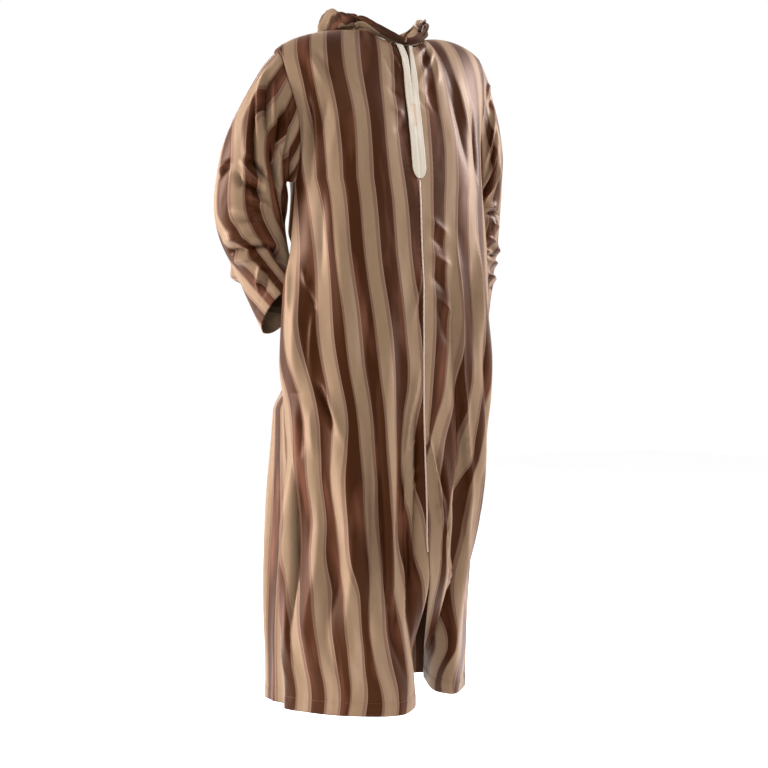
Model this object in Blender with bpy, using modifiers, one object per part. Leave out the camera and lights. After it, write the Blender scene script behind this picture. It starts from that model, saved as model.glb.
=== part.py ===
"""Striped hooded thobe in its hollow worn form: thin sewn panels, open at neck, cuffs and hem.

The frame: the origin is the middle of the shoulder line at the neck, +Z is up, the front faces -Y
and the wearer's right side is at -X. Everything is in metres.
"""
import math
from collections import namedtuple

import bmesh
import bpy
from mathutils import Vector

# Cloth and sewing
WALL = 0.0012
SEAM_GAP = 0.0003
LAY_GAP = 0.0004
SLEEVE_SET_OUT = 0.0014

# Heights
HEM_HEIGHT = -1.335
UNDERARM_HEIGHT = -0.310

# Shoulders and neck
SHOULDER_HALF = 0.240
SHOULDER_BACK = 0.030
SHOULDER_DROP = {"right": -0.054, "left": -0.008}
SHOULDER_CREST = 0.55
SHOULDER_HUMP = {"right": 0.007, "left": 0.015}
NECK_HALF = 0.074
NECK_SIDE_Y = 0.005
NECK_SIDE_HEIGHT = 0.004
NECK_DEPTH = {"front": 0.062, "back": 0.070}
NECK_CENTRE_HEIGHT = {"front": -0.032, "back": 0.004}
NECK_SHARE = 0.64
SHOULDER_ROUNDNESS = 2.7
NECK_ROUNDNESS = 1.9
NECK_ROUND_FROM = 0.45
SHOULDER_HOLLOW = 1.2
SHOULDER_PULL = 3

# Body cross-sections, from the hem up to the shoulders
SQUARENESS = 2.25
Section = namedtuple("Section", "height half_width half_depth shift_x shift_y centre_turn")
SECTIONS = (
    Section(-1.335, 0.209, 0.180, -0.026, 0.016, 93.0),
    Section(-1.180, 0.211, 0.178, -0.025, 0.014, 93.5),
    Section(-1.000, 0.213, 0.170, -0.020, 0.010, 94.0),
    Section(-0.850, 0.222, 0.162, -0.012, 0.006, 92.0),
    Section(-0.700, 0.230, 0.155, -0.006, 0.004, 90.5),
    Section(-0.560, 0.226, 0.150, -0.003, 0.003, 90.5),
    Section(-0.430, 0.219, 0.143, 0.000, 0.003, 90.0),
    Section(-0.310, 0.210, 0.137, 0.000, 0.004, 90.0),
    Section(-0.200, 0.214, 0.130, 0.000, 0.008, 90.0),
    Section(-0.100, 0.232, 0.122, 0.000, 0.014, 90.0),
    Section(0.010, 0.240, 0.115, 0.000, 0.016, 90.0),
)

# Armhole: how far each edge is cut in from the side line, in degrees round the body
ARMHOLE_CUT = {"front": 13.0, "back": 33.0}
ARMHOLE_FULL = 0.42
ARMHOLE_CURVE = 0.8

# Folds: turn is measured round the body in degrees (0 right side, 90 front, 180 left side, 270 back);
# top, full and foot are heights, and THROUGH_HEM stands for a fold that runs out through the hem
THROUGH_HEM = -2.0
Fold = namedtuple("Fold", "panels turn_top turn_foot reach depth top full foot")
FOLDS = (
    Fold("front back", 2, -2, 9, -0.012, -0.740, -0.980, THROUGH_HEM),
    Fold("front", 12, 9, 12, 0.010, -0.720, -1.000, THROUGH_HEM),
    Fold("front", 30, 33, 13, -0.010, -0.500, -1.000, THROUGH_HEM),
    Fold("front", 48, 52, 13, 0.012, -0.600, -1.100, THROUGH_HEM),
    Fold("front", 64, 66, 9, -0.014, -0.600, -1.100, THROUGH_HEM),
    Fold("front", 73, 71, 8, 0.016, -0.560, -0.760, THROUGH_HEM),
    Fold("front", 83, 82, 7, -0.018, -0.640, -0.900, THROUGH_HEM),
    Fold("front", 99, 104, 8, 0.018, -0.780, -1.000, THROUGH_HEM),
    Fold("front", 108, 118, 10, -0.018, -0.560, -0.900, THROUGH_HEM),
    Fold("front", 90, 90, 42, -0.013, -0.010, -0.150, -1.100),
    Fold("front", 126, 132, 12, 0.012, -0.300, -0.700, THROUGH_HEM),
    Fold("front", 143, 148, 11, -0.014, -0.500, -0.950, THROUGH_HEM),
    Fold("front back", 178, 181, 10, -0.012, -0.740, -0.980, THROUGH_HEM),
    Fold("back", 205, 202, 12, 0.014, -0.600, -1.000, THROUGH_HEM),
    Fold("back", 226, 222, 13, -0.016, -0.500, -0.950, THROUGH_HEM),
    Fold("back", 247, 246, 12, 0.016, -0.450, -0.950, THROUGH_HEM),
    Fold("back", 268, 270, 12, -0.018, -0.480, -1.000, THROUGH_HEM),
    Fold("back", 288, 292, 12, 0.016, -0.520, -1.000, THROUGH_HEM),
    Fold("back", 310, 315, 13, -0.014, -0.600, -1.050, THROUGH_HEM),
    Fold("back", 332, 336, 12, 0.010, -0.600, -1.050, THROUGH_HEM),
    Fold("front", 6, 6, 20, 0.014, -0.430, -0.520, -0.760),
    Fold("front", 174, 174, 20, 0.010, -0.430, -0.520, -0.760),
    Fold("back", -16, -16, 34, -0.052, -0.400, -0.500, -0.760),
    Fold("back", 196, 196, 34, -0.052, -0.400, -0.500, -0.760),
    Fold("back", -24, -24, 22, -0.007, -0.270, -0.350, -0.560),
    Fold("back", 204, 204, 22, -0.007, -0.270, -0.350, -0.560),
)
FOLD_FOOT_FADE = 0.10

# The front slit: where each front panel's hem lies in plan, from the slit edge to the side seam
HemPoint = namedtuple("HemPoint", "share x y")
OPEN_HEM = {
    "right": (
        HemPoint(0.00, -0.008, -0.078),
        HemPoint(0.16, -0.022, -0.140),
        HemPoint(0.34, -0.076, -0.172),
        HemPoint(0.55, -0.138, -0.146),
        HemPoint(0.78, -0.200, -0.086),
        HemPoint(1.00, -0.236, 0.010),
    ),
    "left": (
        HemPoint(0.00, 0.100, 0.022),
        HemPoint(0.25, 0.088, -0.030),
        HemPoint(0.46, 0.104, -0.082),
        HemPoint(0.64, 0.146, -0.052),
        HemPoint(0.82, 0.168, -0.020),
        HemPoint(1.00, 0.172, 0.022),
    ),
}
OPEN_HEM_TOP = {"right": -0.900, "left": -0.800}
OPEN_HEM_POWER = 1.3
OPEN_HEM_EDGE = 0.35
OPEN_HEM_SIDE = 0.70
SLIT_LIFT = {"right": 0.012, "left": 0.016}
SLIT_LIFT_REACH = 0.3

# Sleeve rings, from the armhole to the cuff, for the wearer's right; the left is its mirror, with its
# outer side nearer by twice left_in
SleeveRing = namedtuple("SleeveRing", "along x y height half_across half_depth roll pitch left_in")
SLEEVE_RINGS = (
    SleeveRing(0.00, -0.222, 0.034, -0.182, 0.124, 0.062, 82, 0, 0.000),
    SleeveRing(0.20, -0.262, 0.043, -0.230, 0.088, 0.064, 64, 2, 0.006),
    SleeveRing(0.40, -0.274, 0.062, -0.304, 0.075, 0.067, 27, 6, 0.015),
    SleeveRing(0.62, -0.270, 0.080, -0.388, 0.069, 0.064, 2, 16, 0.009),
    SleeveRing(0.82, -0.242, 0.076, -0.474, 0.051, 0.058, -10, 32, -0.010),
    SleeveRing(1.00, -0.214, 0.058, -0.560, 0.038, 0.062, -18, 44, -0.018),
)
ARMHOLE_FADE = 0.28

# Hood, from the front of the neck round to the centre back, in shares of the panel it lies on
HoodSection = namedtuple("HoodSection", "way fold_share fold_level edge_x edge_y edge_height bow left_rise")
HOOD_SECTIONS = (
    HoodSection(0.00, 0.995, 0.975, -0.004, -0.070, -0.022, 0.001, 0.000),
    HoodSection(0.16, 0.860, 0.965, -0.040, -0.060, -0.004, 0.003, 0.004),
    HoodSection(0.32, 0.730, 0.965, -0.070, -0.034, 0.014, 0.006, 0.010),
    HoodSection(0.46, 0.560, 0.985, -0.092, 0.004, 0.036, 0.008, 0.014),
    HoodSection(0.58, 0.520, 0.940, -0.104, 0.050, 0.054, 0.010, 0.008),
    HoodSection(0.72, 0.520, 0.700, -0.104, 0.094, 0.048, 0.014, 0.002),
    HoodSection(0.86, 0.720, 0.400, -0.068, 0.142, 0.036, 0.022, 0.000),
    HoodSection(1.00, 1.000, 0.150, 0.000, 0.160, 0.026, 0.024, 0.000),
)
HOOD_TOP_LEVEL = 0.998
HOOD_NECK_LAY = 0.0016
HOOD_LAY = 0.0065
HOOD_LAY_FULL = 0.14
HOOD_LAY_STEPS = (0.02, HOOD_LAY_FULL, 0.26, 0.42, 0.62, 0.82, 1.0)
HOOD_RISE_STEPS = (0.33, 0.66, 1.0)
HOOD_FOLD_OUT = 0.010
HOOD_FOLD_DROP = 0.004
NORMAL_STEP = 0.004
BELOW_TOP_EDGE = 0.999
OUT_AND_UP = Vector((0.0, -0.02, 0.25))
HOOD_SEAM_HALF = 0.0008

# Placket and piping, measured down the centre front from the neckline
PLACKET_START = 0.004
PLACKET_END = 0.281
PLACKET_HALF = 0.0155
PLACKET_POINT = 0.022
PLACKET_POINT_BEND = 0.4
PLACKET_POINT_SHARE = 0.15
PLACKET_CROSSING = 0.55
PLACKET_ROW_CLEAR = 0.004
PLACKET_SLIT = 0.090
SLIT_HALF = 0.0012
PIPING_START = 0.284
PIPING_HALF = 0.0020
PIPING_LIFT = WALL + LAY_GAP
PLACKET_LIFT = WALL + 2.0 * LAY_GAP

# Mesh fineness
SAME_POINT = 1e-6
LOWER_ROWS = 17
UPPER_ROWS = 9
FRONT_COLUMNS = 15
BACK_COLUMNS = 24
SLEEVE_COLUMNS = 2 * UPPER_ROWS
SLEEVE_ROWS = 11
HOOD_COLUMNS = 14
SLIT_ROW = 5
SLIT_TOP = HEM_HEIGHT + (UNDERARM_HEIGHT - HEM_HEIGHT) * SLIT_ROW / LOWER_ROWS

# Finishes: colour, roughness
COLOURS = {
    "striped_cloth": ((0.30, 0.19, 0.12, 1.0), 0.45),
    "cream_trim": ((0.80, 0.74, 0.62, 1.0), 0.60),
}


def clamp01(value):
    """Keep a value between 0 and 1."""
    return max(0.0, min(1.0, value))


def smoothstep(low, high, value):
    """Ease from 0 at low to 1 at high."""
    share = clamp01((value - low) / (high - low))
    return share * share * (3.0 - 2.0 * share)


def signed_power(value, power):
    """Raise the size of a value to a power and keep its sign."""
    return math.copysign(abs(value) ** power, value)


def smooth_read(rows, key, name, at):
    """Read one named column between table rows, along a smooth curve through the rows."""
    keys = [getattr(row, key) for row in rows]
    values = [getattr(row, name) for row in rows]
    at = max(keys[0], min(keys[-1], at))
    index = 0
    while index < len(keys) - 2 and at > keys[index + 1]:
        index += 1
    span = keys[index + 1] - keys[index]
    share = (at - keys[index]) / span

    def slope(i):
        before = max(i - 1, 0)
        after = min(i + 1, len(keys) - 1)
        return (values[after] - values[before]) / (keys[after] - keys[before])

    square = share * share
    cube = square * share
    return (
        (2 * cube - 3 * square + 1) * values[index]
        + (cube - 2 * square + share) * span * slope(index)
        + (3 * square - 2 * cube) * values[index + 1]
        + (cube - square) * span * slope(index + 1)
    )


def fold_move(face, turn, height):
    """How far the folds push the cloth out (or in) at a turn and height."""
    move = 0.0
    for fold in FOLDS:
        if face not in fold.panels:
            continue
        down = smoothstep(-fold.top, -fold.full, -height)
        centre = fold.turn_top + (fold.turn_foot - fold.turn_top) * down
        away = abs((turn - centre + 180.0) % 360.0 - 180.0)
        if away >= fold.reach:
            continue
        fade_foot = smoothstep(fold.foot, fold.foot + FOLD_FOOT_FADE, height)
        wave = 0.5 * (1.0 + math.cos(math.pi * away / fold.reach))
        move += fold.depth * wave * down * fade_foot
    return move


def ring_point(face, turn, height):
    """A point of the body's cross-section, with its folds."""
    half_width = smooth_read(SECTIONS, "height", "half_width", height)
    half_depth = smooth_read(SECTIONS, "height", "half_depth", height)
    shift_x = smooth_read(SECTIONS, "height", "shift_x", height)
    shift_y = smooth_read(SECTIONS, "height", "shift_y", height)
    angle = math.radians(turn)
    across = signed_power(math.cos(angle), 2.0 / SQUARENESS)
    along = signed_power(math.sin(angle), 2.0 / SQUARENESS)
    out = Vector((-half_width * across, -half_depth * along, 0.0))
    out += out.normalized() * fold_move(face, turn, height)
    return Vector((shift_x, shift_y, height)) + out


def armhole_edge(face, level):
    """How far round from the side line the panel's edge is cut, in degrees."""
    rise = math.sin(0.5 * math.pi * clamp01(level / ARMHOLE_FULL))
    return ARMHOLE_CUT[face] * rise ** ARMHOLE_CURVE


def panel_turn(face, side, share, level, height):
    """The turn round the body at a share of a half panel: 0 at its side edge, 1 at its centre."""
    cut = armhole_edge(face, max(level, 0.0))
    quarter = 90.0
    if face == "front":
        centre = smooth_read(SECTIONS, "height", "centre_turn", height)
        quarter = centre if side == "right" else 180.0 - centre
    from_side = cut + (quarter - cut) * share
    if face == "front":
        return from_side if side == "right" else 180.0 - from_side
    return 360.0 - from_side if side == "right" else 180.0 + from_side


def top_edge(face, side, share):
    """A point of the panel's top edge: the shoulder seam, then the neckline."""
    sign = -1.0 if side == "right" else 1.0
    if share < NECK_SHARE:
        along = share / NECK_SHARE
        x = SHOULDER_HALF + (NECK_HALF - SHOULDER_HALF) * along
        y = SHOULDER_BACK + (NECK_SIDE_Y - SHOULDER_BACK) * along
        drop = SHOULDER_DROP[side]
        hump = 4.0 * SHOULDER_HUMP[side] * along * (1.0 - along)
        height = drop + (NECK_SIDE_HEIGHT - drop) * along ** SHOULDER_CREST + hump
    else:
        angle = 0.5 * math.pi * (share - NECK_SHARE) / (1.0 - NECK_SHARE)
        depth = NECK_DEPTH[face] * (-1.0 if face == "front" else 1.0)
        x = NECK_HALF * math.cos(angle)
        y = NECK_SIDE_Y + (depth - NECK_SIDE_Y) * math.sin(angle)
        height = NECK_SIDE_HEIGHT + (NECK_CENTRE_HEIGHT[face] - NECK_SIDE_HEIGHT) * math.sin(angle) ** 2
    y += SEAM_GAP * (-1.0 if face == "front" else 1.0)
    return Vector((sign * x, y, height))


def open_hem(side, from_centre, point):
    """Swing a front panel towards its own hem line below the closed part of the front."""
    top = SLIT_TOP + (OPEN_HEM_TOP[side] - SLIT_TOP) * smoothstep(0.0, OPEN_HEM_EDGE, from_centre)
    down = smoothstep(-top, -HEM_HEIGHT, -point.z) ** OPEN_HEM_POWER
    down *= 1.0 - smoothstep(OPEN_HEM_SIDE, 1.0, from_centre)
    if down <= 0.0:
        return point
    target_x = smooth_read(OPEN_HEM[side], "share", "x", from_centre)
    target_y = smooth_read(OPEN_HEM[side], "share", "y", from_centre)
    moved = point.copy()
    moved.x += (target_x - point.x) * down
    moved.y += (target_y - point.y) * down
    opened = smoothstep(-SLIT_TOP, -HEM_HEIGHT, -point.z)
    moved.z += SLIT_LIFT[side] * opened * clamp01(1.0 - from_centre / SLIT_LIFT_REACH)
    return moved


def cloth_point(face, side, share, level):
    """A point of a half panel's middle surface.

    share runs from 0 at the side edge to 1 at the centre line. level runs from -1 at the hem, by 0
    at the underarm, to 1 at the top edge.
    """
    if level <= 0.0:
        height = UNDERARM_HEIGHT + (UNDERARM_HEIGHT - HEM_HEIGHT) * level
        turn = panel_turn(face, side, share, level, height)
        point = ring_point(face, turn, height)
        if face == "front":
            point = open_hem(side, 1.0 - share, point)
        return point
    angle = 0.5 * math.pi * level ** SHOULDER_HOLLOW
    roundness = SHOULDER_ROUNDNESS
    if face == "front":
        roundness += (NECK_ROUNDNESS - SHOULDER_ROUNDNESS) * smoothstep(NECK_ROUND_FROM, 1.0, share)
    rise = math.sin(angle) ** (2.0 / roundness)
    inward = math.cos(angle) ** (2.0 / roundness)
    top = top_edge(face, side, share)
    height = UNDERARM_HEIGHT + (top.z - UNDERARM_HEIGHT) * rise
    turn = panel_turn(face, side, share, level, height)
    ring = ring_point(face, turn, height)
    narrow = rise ** SHOULDER_PULL
    return Vector((
        ring.x + (top.x - ring.x) * narrow,
        top.y + (ring.y - top.y) * inward,
        height,
    ))


def lifted_point(face, side, share, level, lift):
    """A point that lies on a panel, moved out along the panel's own normal."""
    here = cloth_point(face, side, share, level)
    low_share = max(share - NORMAL_STEP, 0.0)
    high_share = min(share + NORMAL_STEP, 1.0)
    low_level = max(level - NORMAL_STEP, -1.0)
    high_level = min(level + NORMAL_STEP, BELOW_TOP_EDGE)
    across = cloth_point(face, side, high_share, level) - cloth_point(face, side, low_share, level)
    up = cloth_point(face, side, share, high_level) - cloth_point(face, side, share, low_level)
    normal = across.cross(up).normalized()
    outward = Vector((here.x, here.y, 0.0)) + OUT_AND_UP
    if normal.dot(outward) < 0.0:
        normal = -normal
    return here + normal * lift


def level_of(row):
    """The level of a row of the body's panels, with even rows below the underarm and above it."""
    if row <= LOWER_ROWS:
        return -1.0 + row / LOWER_ROWS
    return (row - LOWER_ROWS) / UPPER_ROWS


def add_material(name):
    """A Principled finish with its colour and roughness."""
    material = bpy.data.materials.new(name)
    material.use_nodes = True
    shader = material.node_tree.nodes["Principled BSDF"]
    colour, roughness = COLOURS[name]
    shader.inputs["Base Color"].default_value = colour
    shader.inputs["Roughness"].default_value = roughness
    shader.inputs["Metallic"].default_value = 0.0
    material.diffuse_color = colour
    return material


def add_sheet(name, columns, rows, place, material, collection, closed=False, skip=None, flip=False):
    """A cloth piece: a grid laid on its surface and given its wall.

    place(column, row) returns each grid point. closed joins the last column to the first. skip names
    the grid cells that are left open, by column and row.
    """
    mesh = bpy.data.meshes.new(name)
    grid = bmesh.new()
    bmesh.ops.create_grid(grid, x_segments=columns, y_segments=rows, size=0.5)
    cells = []
    for face in grid.faces:
        middle = face.calc_center_median()
        column = int((middle.x + 0.5) * columns)
        row = int((middle.y + 0.5) * rows)
        if skip and skip(column, row):
            cells.append(face)
    for vert in grid.verts:
        column = round((vert.co.x + 0.5) * columns)
        row = round((vert.co.y + 0.5) * rows)
        if closed:
            column %= columns
        vert.co = place(column, row)
    if cells:
        bmesh.ops.delete(grid, geom=cells, context="FACES")
    if closed:
        bmesh.ops.remove_doubles(grid, verts=grid.verts, dist=SAME_POINT)
    if flip:
        bmesh.ops.reverse_faces(grid, faces=grid.faces)
    grid.to_mesh(mesh)
    grid.free()
    mesh.shade_smooth()
    sheet = bpy.data.objects.new(name, mesh)
    collection.objects.link(sheet)
    mesh.materials.append(material)
    wall = sheet.modifiers.new("wall", "SOLIDIFY")
    wall.thickness = WALL
    wall.offset = 0.0
    wall.use_rim = True
    return sheet


def backed_off(edge, inside):
    """A seam edge's point, moved back into its own panel to leave the seam's gap."""
    return edge + (inside - edge).normalized() * SEAM_GAP


def add_front(side, material, collection):
    """One front panel, from its side edge to the centre line."""
    flip = side == "left"

    def point(column, row):
        return cloth_point("front", side, column / FRONT_COLUMNS, level_of(row))

    def place(column, row):
        if column == 0:
            return backed_off(point(0, row), point(1, row))
        if column == FRONT_COLUMNS:
            return backed_off(point(column, row), point(column - 1, row))
        return point(column, row)

    add_sheet("front_" + side, FRONT_COLUMNS, LOWER_ROWS + UPPER_ROWS, place, material, collection, flip=flip)


def add_back(material, collection):
    """The back panel, in one width from side seam to side seam."""

    def point(column, row):
        across = 2.0 * column / BACK_COLUMNS - 1.0
        side = "right" if across < 0.0 else "left"
        return cloth_point("back", side, 1.0 - abs(across), level_of(row))

    def place(column, row):
        if column == 0:
            return backed_off(point(0, row), point(1, row))
        if column == BACK_COLUMNS:
            return backed_off(point(column, row), point(column - 1, row))
        return point(column, row)

    add_sheet("back", BACK_COLUMNS, LOWER_ROWS + UPPER_ROWS, place, material, collection, flip=True)


def armhole_point(side, share):
    """A point of the armhole: 0 at the underarm, up the front, 0.5 at the shoulder, down the back."""
    if share <= 0.5:
        return cloth_point("front", side, 0.0, 2.0 * share)
    return cloth_point("back", side, 0.0, 2.0 - 2.0 * share)


def sleeve_ring(side, share, along):
    """A point of a plain oval ring of the sleeve."""
    sign = 1.0 if side == "right" else -1.0
    nearer = 0.0 if side == "right" else smooth_read(SLEEVE_RINGS, "along", "left_in", along)
    centre = Vector((
        sign * (smooth_read(SLEEVE_RINGS, "along", "x", along) + nearer),
        smooth_read(SLEEVE_RINGS, "along", "y", along),
        smooth_read(SLEEVE_RINGS, "along", "height", along),
    ))
    roll = math.radians(smooth_read(SLEEVE_RINGS, "along", "roll", along))
    pitch = math.radians(smooth_read(SLEEVE_RINGS, "along", "pitch", along))
    inward = Vector((sign * math.cos(roll), 0.0, -math.sin(roll)))
    forward = Vector((0.0, -math.cos(pitch), math.sin(pitch)))
    angle = 2.0 * math.pi * share
    across = smooth_read(SLEEVE_RINGS, "along", "half_across", along) - nearer
    depth = smooth_read(SLEEVE_RINGS, "along", "half_depth", along)
    return centre + inward * across * math.cos(angle) + forward * depth * math.sin(angle)


def sleeve_point(side, share, along):
    """A point of the sleeve's middle surface, blended from the armhole's own line."""
    sign = -1.0 if side == "right" else 1.0
    fade = 1.0 - smoothstep(0.0, ARMHOLE_FADE, along)
    set_out = Vector((sign * SLEEVE_SET_OUT, 0.0, 0.0))
    mismatch = armhole_point(side, share) + set_out - sleeve_ring(side, share, 0.0)
    return sleeve_ring(side, share, along) + mismatch * fade


def add_sleeve(side, material, collection):
    """One sleeve, a tube from the armhole to the open cuff."""

    def place(column, row):
        return sleeve_point(side, column / SLEEVE_COLUMNS, row / SLEEVE_ROWS)

    flip = side == "left"
    add_sheet("sleeve_" + side, SLEEVE_COLUMNS, SLEEVE_ROWS, place, material, collection, closed=True, flip=flip)


def hood_value(name, way):
    """One named column of the hood's sections."""
    return smooth_read(HOOD_SECTIONS, "way", name, way)


def hood_neck(way):
    """The face and share of the neckline at a way round the neck, with the corner at the shoulder."""
    corner = 0.5
    if way < corner:
        return "front", 1.0 - (1.0 - NECK_SHARE) * way / corner
    return "back", NECK_SHARE + (1.0 - NECK_SHARE) * (way - corner) / (1.0 - corner)


def hood_points(side, way):
    """The profile of the hood at one place: down over the panel, round its fold and up to its edge."""
    sign = 1.0 if side == "right" else -1.0
    face, neck_share = hood_neck(way)
    fold_share = clamp01(hood_value("fold_share", way))
    fold_level = clamp01(hood_value("fold_level", way))
    profile = []
    for step in HOOD_LAY_STEPS:
        share = neck_share + (fold_share - neck_share) * step
        level = HOOD_TOP_LEVEL + (fold_level - HOOD_TOP_LEVEL) * step
        lay = HOOD_NECK_LAY + (HOOD_LAY - HOOD_NECK_LAY) * smoothstep(0.0, HOOD_LAY_FULL, step)
        profile.append(lifted_point(face, side, share, level, lay))
    fold = profile[-1]
    below = (fold - profile[0]).normalized()
    out = lifted_point(face, side, fold_share, fold_level, HOOD_LAY + HOOD_FOLD_OUT) - fold
    profile.append(fold + out * 0.5 + below * HOOD_FOLD_DROP)
    start = fold + out
    profile.append(start)
    edge = Vector((
        sign * hood_value("edge_x", way),
        hood_value("edge_y", way),
        hood_value("edge_height", way),
    ))
    if side == "left":
        edge.z += hood_value("left_rise", way)
    bow = out.normalized() * hood_value("bow", way)
    for step in HOOD_RISE_STEPS:
        lean = 4.0 * step * (1.0 - step)
        profile.append(start.lerp(edge, step) + bow * lean)
    return profile


def add_hood(side, material, collection):
    """One half of the lowered hood, from the front of the neck to its centre seam at the back."""
    profiles = []
    for column in range(HOOD_COLUMNS + 1):
        way = column / HOOD_COLUMNS
        profiles.append(hood_points(side, way))

    def place(column, row):
        point = profiles[column][row]
        if side == "right":
            return Vector((min(point.x, -HOOD_SEAM_HALF), point.y, point.z))
        return Vector((max(point.x, HOOD_SEAM_HALF), point.y, point.z))

    rows = len(profiles[0]) - 1
    add_sheet("hood_" + side, HOOD_COLUMNS, rows, place, material, collection, flip=side == "left")


def panel_grid_point(side, column, row):
    """A corner of a front panel's own grid, counted in columns from the centre line."""
    return cloth_point("front", side, 1.0 - column / FRONT_COLUMNS, level_of(row))


def centre_line():
    """The length down the centre front at each row of the panels, from the neckline to the hem."""
    lengths = [(0.0, LOWER_ROWS + UPPER_ROWS)]
    for row in range(LOWER_ROWS + UPPER_ROWS - 1, -1, -1):
        step = panel_grid_point("right", 0, row + 1) - panel_grid_point("right", 0, row)
        lengths.append((lengths[-1][0] + step.length, row))
    return lengths


def row_at(down, lengths):
    """The row, with its part, at a length down the centre front."""
    for (above, row_above), (below, row_below) in zip(lengths, lengths[1:]):
        if down <= below:
            return row_above - (down - above) / (below - above)
    return 0.0


def laid_point(across, row, lift):
    """A point on the flat facets beside the centre front line, moved out by a lift."""
    side = "right" if across < 0.0 else "left"
    low = min(int(row), LOWER_ROWS + UPPER_ROWS - 1)
    part = row - low
    centre_low = panel_grid_point(side, 0, low)
    centre_high = panel_grid_point(side, 0, low + 1)
    side_low = panel_grid_point(side, 1, low)
    side_high = panel_grid_point(side, 1, low + 1)
    centre = centre_low.lerp(centre_high, part)
    beside = side_low.lerp(side_high, part)
    normal = (centre_high - centre_low).cross(beside - centre).normalized()
    if normal.y > 0.0:
        normal = -normal
    reach = abs(across) / (beside - centre).length
    return centre.lerp(beside, reach) + normal * lift


def add_placket(material, collection):
    """The cream neck placket: a strip with a pointed end, slit from its top."""
    slit = SLIT_HALF / PLACKET_HALF
    crossings = (-1.0, -PLACKET_CROSSING, -slit, slit, PLACKET_CROSSING, 1.0)
    slit_column = 2
    slit_foot = PLACKET_START + PLACKET_SLIT
    lengths = centre_line()
    downs = [PLACKET_START, slit_foot, PLACKET_END - PLACKET_POINT]
    downs += [PLACKET_END - PLACKET_POINT_BEND * PLACKET_POINT, PLACKET_END]
    highest = PLACKET_START + PLACKET_ROW_CLEAR
    lowest = PLACKET_END - PLACKET_ROW_CLEAR
    downs += [length for length, _ in lengths if highest < length < lowest]
    downs.sort()

    def place(column, row):
        down = downs[row]
        taper = clamp01((PLACKET_END - down) / PLACKET_POINT)
        half = PLACKET_HALF * (PLACKET_POINT_SHARE + (1.0 - PLACKET_POINT_SHARE) * taper)
        return laid_point(crossings[column] * half, row_at(down, lengths), PLACKET_LIFT)

    def skip(column, row):
        return column == slit_column and downs[row + 1] <= slit_foot

    rows = len(downs) - 1
    add_sheet("placket", len(crossings) - 1, rows, place, material, collection, skip=skip, flip=True)


def add_piping(material, collection):
    """The cream piping over the centre front seam, from the placket's point to the slit."""
    lengths = centre_line()
    stops = [row_at(PIPING_START, lengths)]
    stops += [row for _, row in lengths if SLIT_ROW <= row < stops[0]]

    def place(column, row):
        if column == 1:
            right = laid_point(-SAME_POINT, stops[row], PIPING_LIFT)
            left = laid_point(SAME_POINT, stops[row], PIPING_LIFT)
            return 0.5 * (right + left)
        return laid_point(PIPING_HALF * (column - 1), stops[row], PIPING_LIFT)

    add_sheet("piping", 2, len(stops) - 1, place, material, collection, flip=True)


def clear_scene():
    """Start from an empty scene."""
    for thing in list(bpy.data.objects):
        bpy.data.objects.remove(thing, do_unlink=True)


def main():
    """Build every cloth piece."""
    clear_scene()
    collection = bpy.data.collections.new("striped_hooded_thobe")
    bpy.context.scene.collection.children.link(collection)
    striped = add_material("striped_cloth")
    cream = add_material("cream_trim")
    for side in ("right", "left"):
        add_front(side, striped, collection)
    add_back(striped, collection)
    for side in ("right", "left"):
        add_sleeve(side, striped, collection)
        add_hood(side, striped, collection)
    add_placket(cream, collection)
    add_piping(cream, collection)


main()
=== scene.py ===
"""Looks of a long striped hooded thobe, hanging in its worn form.

The garment is made up as a maker cuts it: two front panels, a back, two sleeves and a hood of two
halves, all in striped satin cloth, with a cream placket at the neck and a cream piping down the
centre front. Each panel is a fine grid laid on the garment's form, creased by ridges and troughs
given one by one, and given its thickness. The stripes follow the flat cut of each panel.

The origin is the middle of the shoulder line at the neck, +Z is up, the front faces -Y and the
wearer's right side is at -X. Lengths are in metres and turns round the body in degrees: 0 at the
right side, 90 at the front, 180 at the left side and 270 at the back.
"""
import logging
import math
from collections.abc import Sequence
from dataclasses import dataclass, field
from enum import Enum

import bpy
import numpy as np
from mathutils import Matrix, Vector


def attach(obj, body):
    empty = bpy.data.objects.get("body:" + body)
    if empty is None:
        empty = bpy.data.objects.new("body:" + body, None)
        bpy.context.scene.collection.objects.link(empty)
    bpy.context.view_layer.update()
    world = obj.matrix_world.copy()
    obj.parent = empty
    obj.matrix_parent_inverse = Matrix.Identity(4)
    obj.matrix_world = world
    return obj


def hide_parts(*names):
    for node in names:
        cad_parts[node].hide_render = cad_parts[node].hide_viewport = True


LOG = logging.getLogger("thobe")
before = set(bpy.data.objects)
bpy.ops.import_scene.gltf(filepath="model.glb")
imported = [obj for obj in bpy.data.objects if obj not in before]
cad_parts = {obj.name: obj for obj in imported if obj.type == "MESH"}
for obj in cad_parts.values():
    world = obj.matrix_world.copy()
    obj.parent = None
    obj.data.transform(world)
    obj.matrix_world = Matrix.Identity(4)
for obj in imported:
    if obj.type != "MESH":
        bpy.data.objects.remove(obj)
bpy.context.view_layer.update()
BODY = "root"
CUT_MAP = "Cut"
Array = np.ndarray
Colour = tuple[float, float, float]


class Side(Enum):
    """The wearer's own sides."""

    RIGHT = "right"
    LEFT = "left"

    @property
    def sign(self) -> float:
        """-1 on the wearer's right and +1 on the left."""
        return -1.0 if self is Side.RIGHT else 1.0


class Face(Enum):
    """The front and back of the garment."""

    FRONT = "front"
    BACK = "back"


class Slot(Enum):
    """The finishes that the record names."""

    STRIPED = "striped_satin"
    CREAM = "cream_trim"


def ease(low: float, high: float, value: Array) -> Array:
    """Ease smoothly from 0 at low to 1 at high."""
    share = np.clip((np.asarray(value, float) - low) / (high - low), 0.0, 1.0)
    return share * share * (3.0 - 2.0 * share)


def unit(vectors: Array) -> Array:
    """Bring vectors to length 1."""
    length = np.linalg.norm(vectors, axis=-1, keepdims=True)
    return vectors / np.maximum(length, 1e-12)


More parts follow.
